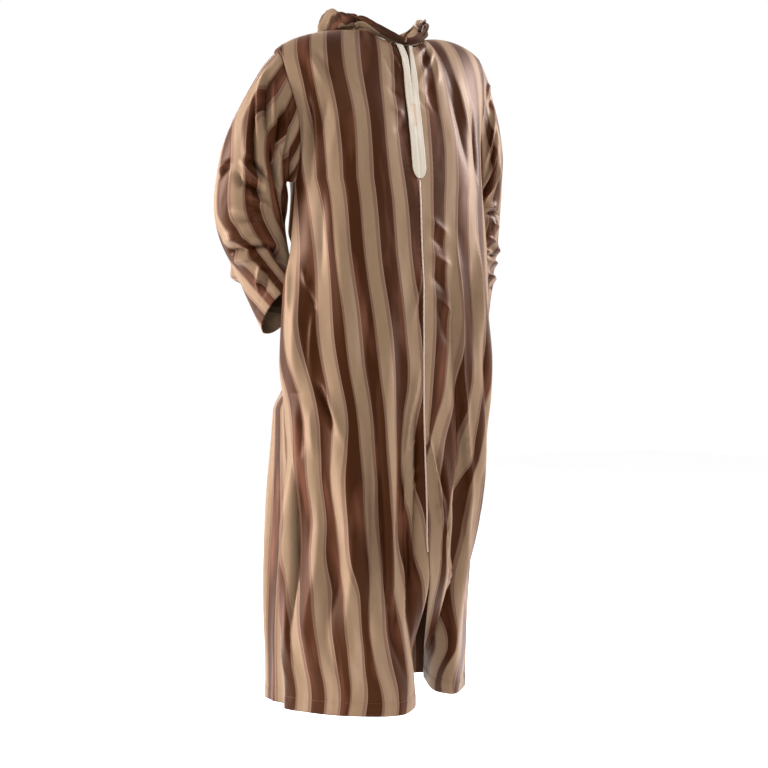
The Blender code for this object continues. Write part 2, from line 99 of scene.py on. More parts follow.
def signed_power(value: Array, power: float) -> Array:
    """Raise the size of a value to a power and keep its sign."""
    return np.sign(value) * np.abs(value) ** power


def bowed(share: Array) -> Array:
    """An even bow: 0 at both ends of a share of 0 to 1, and 1 at its middle."""
    return 4.0 * share * (1.0 - share)


@dataclass(frozen=True)
class HemmedWall:
    """The thickness of a piece of cloth with a turned-up hem along one edge."""

    plain: float = 0.0010
    hem: float = 0.0019
    depth: float = 0.025
    step: float = 0.001

    def thickness(self, from_edge: Array) -> Array:
        """The thickness at some lengths from the hemmed edge."""
        in_hem = 1.0 - ease(self.depth, self.depth + self.step, from_edge)
        return self.plain + (self.hem - self.plain) * in_hem


def lengths_along(points: Array, axis: int) -> Array:
    """The running length along one axis of a grid of points, from 0.

    Args:
        points: The points.
        axis: 0 to run from row to row, and 1 from column to column.

    Returns:
        The lengths.
    """
    steps = np.linalg.norm(np.diff(points, axis=axis), axis=-1)
    start = np.zeros_like(np.take(steps, [0], axis=axis))
    return np.concatenate([start, np.cumsum(steps, axis=axis)], axis=axis)


def bell(off: Array, reach: float) -> Array:
    """A bell-shaped hill, 1 at its middle and about a third at its reach."""
    return np.exp(-(off / reach) ** 2)


def grid_normals(points: Array) -> Array:
    """The normals of a grid of points, from the points beside each one."""
    return unit(np.cross(np.gradient(points, axis=1), np.gradient(points, axis=0)))


def one_sided(normals: Array, toward: Array) -> Array:
    """Normals of a grid, all turned over where they go against some vectors on the whole."""
    return normals if (normals * toward).sum() > 0.0 else -normals


def add_to_scene(name: str, data: bpy.types.ID) -> bpy.types.Object:
    """Add an object to the scene.

    Args:
        name: The object's name.
        data: Its mesh, light or camera.

    Returns:
        The object.
    """
    thing = bpy.data.objects.new(name, data)
    bpy.context.scene.collection.objects.link(thing)
    return thing


def smooth_through(keys: Array, values: Array, at: Array) -> Array:
    """Read a smooth curve that passes through rows of values.

    Args:
        keys: The place of each row along the curve.
        values: One number or one set of points for each row.
        at: The places to read, in a single row where the values are points.

    Returns:
        The values there.
    """
    count = len(keys)
    before = np.maximum(np.arange(count) - 1, 0)
    after = np.minimum(np.arange(count) + 1, count - 1)
    wide = (...,) + (None,) * (values.ndim - 1)
    slopes = (values[after] - values[before]) / (keys[after] - keys[before])[wide]
    index = np.clip(np.searchsorted(keys, at, side="left") - 1, 0, count - 2)
    span = np.asarray(keys[index + 1] - keys[index])[wide]
    share = np.asarray(at - keys[index])[wide] / span
    square = share * share
    cube = square * share
    return (
        (2 * cube - 3 * square + 1) * values[index]
        + (cube - 2 * square + share) * span * slopes[index]
        + (3 * square - 2 * cube) * values[index + 1]
        + (cube - square) * span * slopes[index + 1]
    )


class Table:
    """Rows of sizes with named columns, read as smooth curves along the first column."""

    def __init__(self, names: str, *rows: tuple[float, ...]) -> None:
        """Take the columns' names in one line, and the rows in the order of their first column."""
        self.columns = dict(zip(names.split(), np.array(rows, float).T))
        self.keys = self.columns[names.split()[0]]

    def read(self, name: str, at: Array) -> Array:
        """Read one column.

        Args:
            name: The column.
            at: Places along the first column; those past an end take the end's value.

        Returns:
            The column's values there.
        """
        return smooth_through(self.keys, self.columns[name], np.clip(at, self.keys[0], self.keys[-1]))


class SoftNoise:
    """Smooth random hills on a plane, the same each time for one seed."""

    CELLS = 64

    def __init__(self, seed: int) -> None:
        """Draw the random heights from a seed."""
        self.heights = np.random.default_rng(seed).uniform(-1.0, 1.0, (self.CELLS, self.CELLS))

    def read(self, across: Array, along: Array) -> Array:
        """Read the hills, one hill to a unit of length.

        Args:
            across: Places in one direction, in hills.
            along: Places in the other direction, in hills.

        Returns:
            Heights from -1 to 1.
        """
        column = np.floor(across).astype(int)
        row = np.floor(along).astype(int)
        x = ease(0.0, 1.0, across - column)
        y = ease(0.0, 1.0, along - row)

        def corner(right: int, up: int) -> Array:
            """The random height at one corner of the cell."""
            return self.heights[(column + right) % self.CELLS, (row + up) % self.CELLS]

        low = corner(0, 0) * (1.0 - x) + corner(1, 0) * x
        high = corner(0, 1) * (1.0 - x) + corner(1, 1) * x
        return low * (1.0 - y) + high * y


@dataclass(frozen=True)
class Crease:
    """A soft ridge, or a trough where its depth is below 0, along a bowed line on a piece."""

    across_a: float
    along_a: float
    across_b: float
    along_b: float
    reach: float
    depth: float
    bow: float = 0.0

    CREST = 1.5
    END = 0.42

    def height(self, across: Array, along: Array) -> Array:
        """How far the crease moves the cloth out.

        Args:
            across: Places across the piece.
            along: Places along the piece.

        Returns:
            The moves, outwards where above 0.
        """
        run_x = self.across_b - self.across_a
        run_y = self.along_b - self.along_a
        length = math.hypot(run_x, run_y)
        from_x = across - self.across_a
        from_y = along - self.along_a
        share = (from_x * run_x + from_y * run_y) / length ** 2
        off = (from_y * run_x - from_x * run_y) / length - self.bow * bowed(share)
        ends = ease(0.0, self.END, share) * ease(0.0, self.END, 1.0 - share)
        return self.depth * np.exp(-np.abs(off / self.reach) ** self.CREST) * ends


def creases(*rows: tuple[float, ...]) -> tuple[Crease, ...]:
    """Creases from rows in millimetres: across_a, along_a, across_b, along_b, reach, depth, bow."""
    return tuple(Crease(*(0.001 * size for size in row)) for row in rows)


def creased(rows: Sequence[Crease], across: Array, along: Array) -> Array:
    """Add up what several creases do to a piece.

    Args:
        rows: The creases.
        across: Places across the piece.
        along: Places along the piece.

    Returns:
        The moves, outwards where above 0.
    """
    return sum((crease.height(across, along) for crease in rows), np.zeros(np.shape(across)))


@dataclass(frozen=True)
class LongFold:
    """A fold that runs down the body: its turn at the top and foot, and where it starts and ends."""

    turn_top: float
    turn_foot: float
    reach: float
    depth: float
    top: float
    full: float
    foot: float = -2.0

    FOOT_FADE = 0.10

    def move(self, turn: Array, height: Array) -> Array:
        """How far the fold pushes the cloth out.

        Args:
            turn: Turns round the body.
            height: Heights.

        Returns:
            The moves, outwards where above 0.
        """
        down = ease(-self.top, -self.full, -height)
        centre = self.turn_top + (self.turn_foot - self.turn_top) * down
        away = np.abs((turn - centre + 180.0) % 360.0 - 180.0)
        wave = 0.5 * (1.0 + np.cos(np.pi * np.minimum(away / self.reach, 1.0)))
        return self.depth * wave * down * ease(self.foot, self.foot + self.FOOT_FADE, height)


def long_folds(*rows: tuple[float, ...]) -> tuple[LongFold, ...]:
    """Folds from rows: turn_top, turn_foot and reach in degrees, depth, top, full and foot in mm."""
    return tuple(LongFold(*row[:3], *(0.001 * size for size in row[3:])) for row in rows)


@dataclass(frozen=True)
class BodyForm:
    """The form of the body of the garment, from the shoulders to the hem, in smooth cloth."""

    hem_height: float = -1.335
    underarm_height: float = -0.310
    slit_top: float = -1.0335
    shoulder_half: float = 0.240
    shoulder_back: float = 0.030
    shoulder_drop_right: float = -0.054
    shoulder_drop_left: float = -0.008
    shoulder_crest: float = 0.55
    shoulder_hump_right: float = 0.007
    shoulder_hump_left: float = 0.015
    shoulder_roundness: float = 2.7
    neck_roundness: float = 1.9
    neck_round_from: float = 0.45
    shoulder_hollow: float = 1.2
    shoulder_pull: float = 3.0
    neck_half: float = 0.074
    neck_side_y: float = 0.005
    neck_side_height: float = 0.004
    neck_depth_front: float = 0.062
    neck_depth_back: float = 0.070
    neck_height_front: float = -0.032
    neck_height_back: float = 0.004
    neck_share: float = 0.64
    squareness: float = 2.25
    armhole_cut_front: float = 13.0
    armhole_cut_back: float = 33.0
    armhole_full: float = 0.42
    armhole_curve: float = 0.8

    open_top_right: float = -0.900
    open_top_left: float = -0.800
    open_power: float = 1.3
    open_edge: float = 0.35
    open_side: float = 0.70
    slit_lift_right: float = 0.012
    slit_lift_left: float = 0.016
    slit_lift_reach: float = 0.3

    SECTIONS = Table(
        "height half_width half_depth shift_x shift_y centre_turn",
        (-1.335, 0.209, 0.180, -0.026, 0.016, 93.0),
        (-1.180, 0.211, 0.178, -0.025, 0.014, 93.5),
        (-1.000, 0.213, 0.170, -0.020, 0.010, 94.0),
        (-0.850, 0.222, 0.162, -0.012, 0.006, 92.0),
        (-0.700, 0.230, 0.155, -0.006, 0.004, 90.5),
        (-0.560, 0.226, 0.150, -0.003, 0.003, 90.5),
        (-0.430, 0.219, 0.143, 0.000, 0.003, 90.0),
        (-0.310, 0.210, 0.137, 0.000, 0.004, 90.0),
        (-0.200, 0.214, 0.130, 0.000, 0.008, 90.0),
        (-0.100, 0.232, 0.122, 0.000, 0.014, 90.0),
        (0.010, 0.240, 0.115, 0.000, 0.016, 90.0),
    )
    FOLDS = {
        Face.FRONT: long_folds(
            (2, -2, 9, -12, -740, -980), (12, 9, 12, 10, -720, -1000), (30, 33, 13, -10, -500, -1000),
            (48, 52, 13, 12, -600, -1100), (64, 66, 9, -14, -600, -1100), (73, 71, 8, 16, -560, -760),
            (83, 82, 7, -18, -640, -900), (99, 104, 8, 18, -780, -1000), (108, 118, 10, -18, -560, -900),
            (90, 90, 42, -13, -10, -150, -1100), (126, 132, 12, 12, -300, -700),
            (143, 148, 11, -14, -500, -950), (178, 181, 10, -12, -740, -980),
            (6, 6, 20, 14, -430, -520, -760), (174, 174, 20, 10, -430, -520, -760),
        ),
        Face.BACK: long_folds(
            (2, -2, 9, -12, -740, -980), (178, 181, 10, -12, -740, -980), (205, 202, 12, 14, -600, -1000),
            (226, 222, 13, -16, -500, -950), (247, 246, 12, 16, -450, -950), (268, 270, 12, -18, -480, -1000),
            (288, 292, 12, 16, -520, -1000), (310, 315, 13, -14, -600, -1050),
            (332, 336, 12, 10, -600, -1050), (-16, -16, 34, -52, -400, -500, -760),
            (196, 196, 34, -52, -400, -500, -760), (-24, -24, 22, -7, -270, -350, -560),
            (204, 204, 22, -7, -270, -350, -560),
        ),
    }
    # each front's hem in plan, by its share of the way from the slit to the side
    OPEN_HEM_RIGHT = Table(
        "share x y", (0.00, -0.008, -0.078), (0.16, -0.022, -0.140), (0.34, -0.076, -0.172),
        (0.55, -0.138, -0.146), (0.78, -0.200, -0.086), (1.00, -0.236, 0.010),
    )
    OPEN_HEM_LEFT = Table(
        "share x y", (0.00, 0.100, 0.022), (0.25, 0.088, -0.030), (0.46, 0.104, -0.082),
        (0.64, 0.146, -0.052), (0.82, 0.168, -0.020), (1.00, 0.172, 0.022),
    )

    @property
    def below_underarm(self) -> float:
        """The height from the hem to the underarm."""
        return self.underarm_height - self.hem_height

    def ring(self, face: Face, turn: Array, height: Array) -> Array:
        """Points of the level cross-sections, with the long folds.

        Args:
            face: The front or the back.
            turn: Turns round the body.
            height: Heights.

        Returns:
            The points.
        """
        size = self.SECTIONS.read
        angle = np.radians(turn)
        across = signed_power(np.cos(angle), 2.0 / self.squareness)
        deep = signed_power(np.sin(angle), 2.0 / self.squareness)
        x = -size("half_width", height) * across
        y = -size("half_depth", height) * deep
        out = np.stack([x, y, np.zeros_like(x)], axis=-1)
        out += unit(out) * sum(fold.move(turn, height) for fold in self.FOLDS[face])[..., None]
        return out + np.stack([size("shift_x", height), size("shift_y", height), height], axis=-1)


@dataclass(frozen=True)
class HalfForm:
    """One half of the form's front or back.

    Shares run from 0 at its side edge to 1 at the centre line. Levels run from -1 at the hem over 0 at the
    underarm to 1 at its top edge.
    """

    form: BodyForm
    face: Face
    side: Side

    def turn(self, share: Array, level: Array, height: Array) -> Array:
        """The turn round the body in degrees.

        Args:
            share: Shares.
            level: Levels.
            height: The heights there.

        Returns:
            The turns.
        """
        form, front, right = self.form, self.face is Face.FRONT, self.side is Side.RIGHT
        rise = np.sin(0.5 * np.pi * np.clip(level / form.armhole_full, 0.0, 1.0))
        cut = form.armhole_cut_front if front else form.armhole_cut_back
        edge = cut * rise ** form.armhole_curve
        centre = form.SECTIONS.read("centre_turn", height) if front else np.full(np.shape(height), 90.0)
        quarter = centre if right else 180.0 - centre
        from_side = edge + (quarter - edge) * share
        turn = from_side if right else 180.0 - from_side
        return turn if front else 360.0 - turn

    def top_edge(self, share: Array) -> Array:
        """The top edge: the shoulder seam, then the neckline.

        Args:
            share: Shares.

        Returns:
            The points.
        """
        form, front, right = self.form, self.face is Face.FRONT, self.side is Side.RIGHT
        drop = form.shoulder_drop_right if right else form.shoulder_drop_left
        hump = form.shoulder_hump_right if right else form.shoulder_hump_left
        depth = -form.neck_depth_front if front else form.neck_depth_back
        neck_height = form.neck_height_front if front else form.neck_height_back
        along = np.minimum(share / form.neck_share, 1.0)
        angle = 0.5 * np.pi * np.maximum((share - form.neck_share) / (1.0 - form.neck_share), 0.0)
        rise = (form.neck_side_height - drop) * along ** form.shoulder_crest
        shoulder = (
            form.shoulder_half + (form.neck_half - form.shoulder_half) * along,
            form.shoulder_back + (form.neck_side_y - form.shoulder_back) * along,
            drop + rise + hump * bowed(along),
        )
        neckline = (
            form.neck_half * np.cos(angle),
            form.neck_side_y + (depth - form.neck_side_y) * np.sin(angle),
            form.neck_side_height + (neck_height - form.neck_side_height) * np.sin(angle) ** 2,
        )
        x, y, height = (np.where(share < form.neck_share, *both) for both in zip(shoulder, neckline))
        return np.stack([self.side.sign * x, y, height], axis=-1)

    def open_front(self, from_centre: Array, point: Array) -> Array:
        """Swing a front panel to its own hem line below the closed part of the front.

        Args:
            from_centre: 0 at the centre front to 1 at the side.
            point: The panel's points before they swing.

        Returns:
            The points where the panel hangs.
        """
        form, right = self.form, self.side is Side.RIGHT
        places = form.OPEN_HEM_RIGHT if right else form.OPEN_HEM_LEFT
        open_top = form.open_top_right if right else form.open_top_left
        lift = form.slit_lift_right if right else form.slit_lift_left
        top = form.slit_top + (open_top - form.slit_top) * ease(0.0, form.open_edge, from_centre)
        height = point[..., 2]
        down = ease(0.0, 1.0, (top - height) / (top - form.hem_height)) ** form.open_power
        down = down * (1.0 - ease(form.open_side, 1.0, from_centre))
        opened = ease(-form.slit_top, -form.hem_height, -height)
        x, y = (
            point[..., axis] + (places.read(name, from_centre) - point[..., axis]) * down
            for axis, name in enumerate("xy")
        )
        z = height + lift * opened * np.clip(1.0 - from_centre / form.slit_lift_reach, 0.0, 1.0)
        return np.stack([x, y, z], axis=-1)

    def point(self, share: Array, level: Array) -> Array:
        """Points of the smooth cloth.

        Args:
            share: Shares.
            level: Levels.

        Returns:
            The points.
        """
        form, front = self.form, self.face is Face.FRONT
        share, level = np.broadcast_arrays(np.asarray(share, float), np.asarray(level, float))
        height = form.underarm_height + form.below_underarm * np.minimum(level, 0.0)
        lower = form.ring(self.face, self.turn(share, level, height), height)
        if front:
            lower = self.open_front(1.0 - share, lower)
        angle = 0.5 * np.pi * np.clip(level, 0.0, 1.0) ** form.shoulder_hollow
        roundness = np.full(share.shape, form.shoulder_roundness)
        if front:
            near_neck = ease(form.neck_round_from, 1.0, share)
            roundness += (form.neck_roundness - form.shoulder_roundness) * near_neck
        rise = np.sin(angle) ** (2.0 / roundness)
        inward = np.abs(np.cos(angle)) ** (2.0 / roundness)
        top = self.top_edge(share)
        height = form.underarm_height + (top[..., 2] - form.underarm_height) * rise
        ring = form.ring(self.face, self.turn(share, level, height), height)
        narrow = rise ** form.shoulder_pull
        x = ring[..., 0] + (top[..., 0] - ring[..., 0]) * narrow
        y = top[..., 1] + (ring[..., 1] - top[..., 1]) * inward
        upper = np.stack([x, y, height], axis=-1)
        return np.where((level <= 0.0)[..., None], lower, upper)

    def lifted(self, share: Array, level: Array, lift: Array | float) -> Array:
        """Points of the cloth, moved out along its own normal.

        Args:
            share: Shares.
            level: Levels.
            lift: How far the points move out.

        Returns:
            The points.
        """
        step = 0.004
        below_top = 0.999
        rise = np.array([0.0, -0.02, 0.25])
        here = self.point(share, level)
        across = self.point(np.minimum(share + step, 1.0), level)
        across = across - self.point(np.maximum(share - step, 0.0), level)
        up = self.point(share, np.minimum(level + step, below_top))
        up = up - self.point(share, np.maximum(level - step, -1.0))
        normal = unit(np.cross(across, up))
        outward = here * np.array([1.0, 1.0, 0.0]) + rise
        side_out = np.sign((normal * outward).sum(axis=-1, keepdims=True))
        return here + normal * side_out * np.asarray(lift)[..., None]


@dataclass
class ClothGrid:
    """A sheet of cloth as a grid of rows and columns, with its flat cut and its thickness."""

    points: Array
    normals: Array
    cut: Array
    wall: Array
    closed: bool = False
    absent: Array | None = None

    @property
    def outer(self) -> Array:
        """The points of the outer side."""
        return self.points + self.normals * 0.5 * self.wall[..., None]

    def row_line(self, length: float) -> tuple[Array, Array]:
        """A line across the outer side, at one running length from the first row.

        Args:
            length: The length at which the line lies.

        Returns:
            The points and the normals.
        """
        run = lengths_along(self.points, 0)
        columns = np.arange(run.shape[1])
        rows = np.array([np.interp(length, run[:, column], np.arange(len(run))) for column in columns])
        row = np.clip(np.floor(rows).astype(int), 0, len(run) - 2)
        up = (rows - row)[:, None]
        line, normals = (
            values[row, columns] * (1.0 - up) + values[row + 1, columns] * up
            for values in (self.outer, self.normals)
        )
        return line, unit(normals)

    def faces(self) -> tuple[Array, Array]:
        """The quads of the outer side, the inner side and the rims.

        Returns:
            The grid row and column of each corner with its side (0 outer, 1 inner), for every quad,
            and the finish of each quad.
        """
        rows, columns = self.points.shape[:2]
        held = np.ones((rows - 1, columns - 1), bool) if self.absent is None else ~self.absent
        row, column = np.nonzero(held)
        steps = ((0, 0), (0, 1), (1, 1), (1, 0))
        corners = [np.stack([row + up, column + right, 0 * row], axis=-1) for up, right in steps]
        outer = np.stack(corners, axis=1)
        inner = outer[:, ::-1].copy()
        inner[..., 2] = 1
        wide = np.pad(held, 1)
        if self.closed:
            wide[1:-1, 0] = held[:, -1]
            wide[1:-1, -1] = held[:, 0]
        rims = []
        for down, right, first, last in ((-1, 0, 0, 1), (0, 1, 1, 2), (1, 0, 2, 3), (0, -1, 3, 0)):
            beside = wide[1 + down:wide.shape[0] - 1 + down, 1 + right:wide.shape[1] - 1 + right]
            open_edge = ~beside[row, column]
            rim = np.stack([outer[open_edge, corner] for corner in (last, first, first, last)], axis=1)
            rim[:, 2:, 2] = 1
            rims.append(rim)
        rim = np.concatenate(rims)
        kind = np.repeat([0, 1, 0], [len(outer), len(inner), len(rim)])
        return np.concatenate([outer, inner, rim]), kind

    def build(self, name: str, materials: Sequence[bpy.types.Material]) -> bpy.types.Object:
        """Make the sheet a mesh with both of its sides and its rims.

        Args:
            name: The piece's name.
            materials: The finish of the outer side, then of the inner side.

        Returns:
            The piece.
        """
        rows, columns = self.points.shape[:2]
        ring = columns - 1 if self.closed else columns
        inner = 2.0 * self.points - self.outer
        corners, kind = self.faces()
        across = self.points[:-1, 1:] - self.points[:-1, :-1]
        up = self.points[1:, :-1] - self.points[:-1, :-1]
        if (np.cross(across, up) * self.normals[:-1, :-1]).sum() < 0.0:
            corners = corners[:, ::-1]
        index = corners[..., 0] * ring + corners[..., 1] % ring + corners[..., 2] * rows * ring
        places = [side[:, :ring].reshape(-1, 3) for side in (self.outer, inner)]
        mesh = bpy.data.meshes.new(name)
        mesh.from_pydata(np.concatenate(places).tolist(), [], index.tolist())
        cut = self.cut[corners[..., 0], corners[..., 1]].astype(np.float32)
        mesh.uv_layers.new(name=CUT_MAP).data.foreach_set("uv", cut.ravel())
        for material in materials:
            mesh.materials.append(material)
        if len(materials) > 1:
            mesh.polygons.foreach_set("material_index", kind.astype(np.int32))
        mesh.shade_smooth()
        return add_to_scene(name, mesh)


@dataclass(frozen=True)
class StripeWeave:
    """The woven stripes, from one tan stripe to the next, towards the wearer's left."""

    tan: float = 0.0235
    pale_line: float = 0.0058
    hairline: float = 0.0013
    dark: float = 0.0284
    brown_line: float = 0.0048

    @property
    def widths(self) -> tuple[float, ...]:
        """The widths of the stripes of one repeat."""
        return (self.tan, self.pale_line, self.hairline, self.dark, self.brown_line)

    @property
    def period(self) -> float:
        """The width of one whole repeat."""
        return sum(self.widths)


WEAVE = StripeWeave()


@dataclass(frozen=True)
class StripePlan:
    """Where the stripes of a front panel lie.

    Each row is a height and how far from the centre front five tan stripes begin there, in millimetres.
    The counts are the repeats that these stripes begin.
    """

    rows: tuple[tuple[int, ...], ...]
    counts: tuple[int, ...]

    def cut_across(self, from_centre: Array, height: Array) -> Array:
        """The place across the flat cut for each point of a panel's grid.

        Args:
            from_centre: Lengths from the centre front, above 0.
            height: The height of each row of the grid.

        Returns:
            Lengths across the cut, below 0 on the wearer's right.
        """
        heights, *_ = table = 0.001 * np.array(self.rows).T
        starts = smooth_through(heights, table[1:].T, np.clip(height, heights[0], heights[-1]))
        cuts = np.array(self.counts) * WEAVE.period
        order = np.sign(cuts[-1])
        ends = starts + order * WEAVE.tan
        lines = np.sort(np.concatenate([starts, ends], axis=1), axis=1)
        places = order * np.sort(order * np.concatenate([cuts, cuts + WEAVE.tan]))
        across = np.empty_like(from_centre)
        for row, (line, lengths) in enumerate(zip(lines, from_centre)):
            across[row] = np.interp(lengths, line, places)
            before = lengths < line[0]
            after = lengths > line[-1]
            across[row, before] = places[0] - order * (line[0] - lengths[before])
            across[row, after] = places[-1] + order * (lengths[after] - line[-1])
        return across


@dataclass
class HalfPanel:
    """The cloth of a half of the front or back while it is being shaped."""

    face: Face
    side: Side
    points: Array
    normals: Array
    from_centre: Array
    width: Array
    shaped: Array | None = None


@dataclass
class BodyCloth:
    """The two front panels and the back, with their creases, seams and hems.

    The creases of the front and of the back lie by lengths from the centre line and by heights.
    """

    form: BodyForm
    creases_front: tuple[Crease, ...]
    creases_back: tuple[Crease, ...]
    front_columns: int = 104
    back_columns: int = 74
    row_length: float = 0.0045
    wall: HemmedWall = HemmedWall()
    seam_reach: float = 0.0030
    seam_dip: float = 0.0007
    seam_fade_down: float = 0.030
    seam_fade_across: float = 0.025
    neck_gap: float = 0.0042
    neck_gap_reach: float = 0.026
    neck_gap_spread: float = 0.030
    pucker_length: float = 0.012
    pucker_depth: float = 0.0009
    pucker_reach: float = 0.014
    pucker_change: float = 0.035
    pucker_seed: int = 7
    pucker_foot: float = -1.06
    pucker_full: float = -1.00
    placket_foot: float = -0.325
    placket_side: float = 0.020
    hem_band: float = 0.0004
    hem_line: float = 0.0006
    hem_wave: float = 0.0005
    hem_wave_length: float = 0.016
    hem_seed: int = 11
    hills: tuple[tuple[float, float, float], ...] = (
        (0.075, 0.200, 0.0022), (0.034, 0.085, 0.0009), (0.014, 0.030, 0.00030),
    )
    hills_seed: int = 31
    back_shift: float = 0.012
    halves: dict[tuple[Face, Side], HalfPanel] = field(default_factory=dict)

    def __post_init__(self) -> None:
        """Work out the rows of the grids, evenly spaced along the cloth, then lay and crease it."""
        level = np.linspace(-1.0, 1.0, 1601)
        middle = HalfForm(self.form, Face.FRONT, Side.RIGHT).point(np.full(level.shape, 0.4), level)
        run = lengths_along(middle, 0)
        count = int(run[-1] / self.row_length)
        self.levels = np.interp(np.linspace(0.0, run[-1], count + 1), run, level)
        self.shape()

    def lay(self, face: Face, side: Side) -> HalfPanel:
        """Lay a half panel on the form, smooth.

        Args:
            face: The front or the back.
            side: The wearer's side.

        Returns:
            The half panel, with its first column at the side and its last at the centre.
        """
        columns = self.front_columns if face is Face.FRONT else self.back_columns
        share = np.linspace(0.0, 1.0, columns + 1)[None, :]
        points = HalfForm(self.form, face, side).point(share, self.levels[:, None])
        outward = points - np.array([0.0, 0.01, 0.0])
        outward[..., 2] = 0.35 * ease(-0.15, 0.0, points[..., 2])
        if face is Face.FRONT:
            outward[..., 1] -= 0.10
        from_centre = lengths_along(points[:, ::-1], 1)[:, ::-1]
        normals = one_sided(grid_normals(points), outward)
        return HalfPanel(face, side, points, normals, from_centre, from_centre[:, 0])

    def match_seam_normals(self) -> None:
        """Share the normals of panels along their seams, so that both sides move together."""
        slit_level = (self.form.slit_top - self.form.underarm_height) / self.form.below_underarm
        closed = self.levels > slit_level
        everywhere = np.full(self.levels.shape, True)
        below = self.levels <= 0.0
        seams = [((Face.FRONT, Side.RIGHT), (Face.FRONT, Side.LEFT), closed, -1)]
        seams += [((Face.FRONT, side), (Face.BACK, side), below, 0) for side in Side]
        seams += [((Face.BACK, Side.RIGHT), (Face.BACK, Side.LEFT), everywhere, -1)]
        for first, second, rows, column in seams:
            one, other = self.halves[first].normals, self.halves[second].normals
            one[rows, column] = unit(one[rows, column] + other[rows, column])
            other[rows, column] = one[rows, column]

    def noise(self, points: Array, normals: Array) -> Array:
        """Small uneven hills all over the cloth, longer down than across.

        Args:
            points: The cloth's points.
            normals: Its normals.

        Returns:
            The moves.
        """
        total = np.zeros(points.shape[:2])
        for number, (across, down, depth) in enumerate(self.hills):
            hills = SoftNoise(self.hills_seed + number)
            facing = np.abs(normals[..., 1])
            height = points[..., 2] / down
            total += depth * facing * hills.read(points[..., 0] / across, height)
            total += depth * (1.0 - facing) * hills.read(points[..., 1] / across + 20.0, height)
        return total

    def moves(self, half: HalfPanel) -> Array:
        """How far the cloth of a half panel moves out from its smooth form.

        Args:
            half: The half panel.

        Returns:
            The moves.
        """
        front = self.halves[Face.FRONT, half.side]
        back = self.halves[Face.BACK, half.side]
        girth = (front.width + back.width)[:, None]
        near = half.from_centre * half.side.sign
        far = (girth - half.from_centre) * half.side.sign
        height = half.points[..., 2]
        at_front, at_back = (near, far) if half.face is Face.FRONT else (far, near)
        move = creased(self.creases_front, at_front, height) + creased(self.creases_back, at_back, height)
        move += self.noise(half.points, half.normals)
        below_top = lengths_along(half.points[::-1], 0)[::-1]
        move *= ease(0.0, self.seam_fade_down, below_top)
        from_side = half.width[:, None] - half.from_centre
        upper = ease(-0.02, 0.02, self.levels)[:, None]
        move *= 1.0 - upper * (1.0 - ease(0.0, self.seam_fade_across, from_side))
        move -= self.seam_dip * bell(from_side, self.seam_reach)
        move -= self.seam_dip * bell(below_top, self.seam_reach)
        if half.face is Face.FRONT:
            move -= 0.6 * self.seam_dip * bell(half.from_centre, self.seam_reach)
            move += self.puckers(half)
        return move + self.hem_moves(half)

    def puckers(self, half: HalfPanel) -> Array:
        """The small drawn-up waves beside the centre front seam, which stop beside the placket.

        Args:
            half: A front half panel.

        Returns:
            The moves.
        """
        height = half.points[..., 2]
        row = np.full(height.shape, 2.5 + half.side.sign)
        uneven = SoftNoise(self.pucker_seed).read(height / self.pucker_change, row)
        lean = half.from_centre / self.pucker_length
        wave = 0.5 * np.sin(2.0 * np.pi * height / self.pucker_length + 5.0 * uneven)
        wave += 0.5 * np.sin(2.0 * np.pi * (height / self.pucker_length + 0.3 * lean) + 4.0 * uneven)
        strength = 0.4 + 0.6 * np.abs(uneven)
        fade = ease(self.pucker_foot, self.pucker_full, height)
        beside = ease(self.placket_foot, self.placket_foot + 0.025, height)
        near = bell(half.from_centre - self.placket_side * beside, self.pucker_reach)
        under_placket = beside * (1.0 - ease(0.010, 0.018, half.from_centre))
        return self.pucker_depth * wave * strength * near * fade * (1.0 - under_placket)

    def hem_moves(self, half: HalfPanel) -> Array:
        """The hem's band: a turned-up edge with a drawn-in stitch line along its top.

        Args:
            half: A half panel.

        Returns:
            The moves.
        """
        up = lengths_along(half.points, 0)
        along = half.from_centre
        from_line = up - self.wall.depth
        band = self.hem_band * (1.0 - ease(self.wall.depth - 0.003, self.wall.depth, up))
        line = self.hem_line * bell(from_line, 0.0022)
        uneven = SoftNoise(self.hem_seed).read(along / 0.05, up / 0.03)
        turn = 2.0 * np.pi * (along + 0.25 * up) / self.hem_wave_length
        waves = self.hem_wave * np.sin(turn + 4.0 * uneven)
        return band - line + waves * bell(from_line, 0.016) * (0.4 + 0.6 * np.abs(uneven))

    def shape(self) -> None:
        """Lay every half panel, crease it and join the seams."""
        for face in Face:
            for side in Side:
                self.halves[face, side] = self.lay(face, side)
        self.match_seam_normals()
        for half in self.halves.values():
            half.shaped = half.points + half.normals * self.moves(half)[..., None]
            if half.face is Face.FRONT:
                down = lengths_along(half.points[::-1, -1:], 0)[::-1]
                gap = self.neck_gap * np.exp(-down / self.neck_gap_reach)
                near = np.exp(-half.from_centre / self.neck_gap_spread)
                half.shaped[..., 0] += half.side.sign * gap * near

    def front_grid(self, side: Side, plan: StripePlan) -> ClothGrid:
        """The finished grid of a front panel.

        Args:
            side: The wearer's side.
            plan: Where its stripes lie.

        Returns:
            The grid.
        """
        half = self.halves[Face.FRONT, side]
        across = plan.cut_across(half.from_centre, half.shaped[:, -1, 2])
        return self.finished(half.shaped, half.normals, across)

    def back_grid(self) -> ClothGrid:
        """The finished grid of the back, from side seam to side seam.

        Returns:
            The grid.
        """
        right = self.halves[Face.BACK, Side.RIGHT]
        left = self.halves[Face.BACK, Side.LEFT]
        points = np.concatenate([right.shaped, left.shaped[:, -2::-1]], axis=1)
        normals = np.concatenate([right.normals, left.normals[:, -2::-1]], axis=1)
        across = np.concatenate([-right.from_centre, left.from_centre[:, -2::-1]], axis=1) + self.back_shift
        return self.finished(points, normals, across)

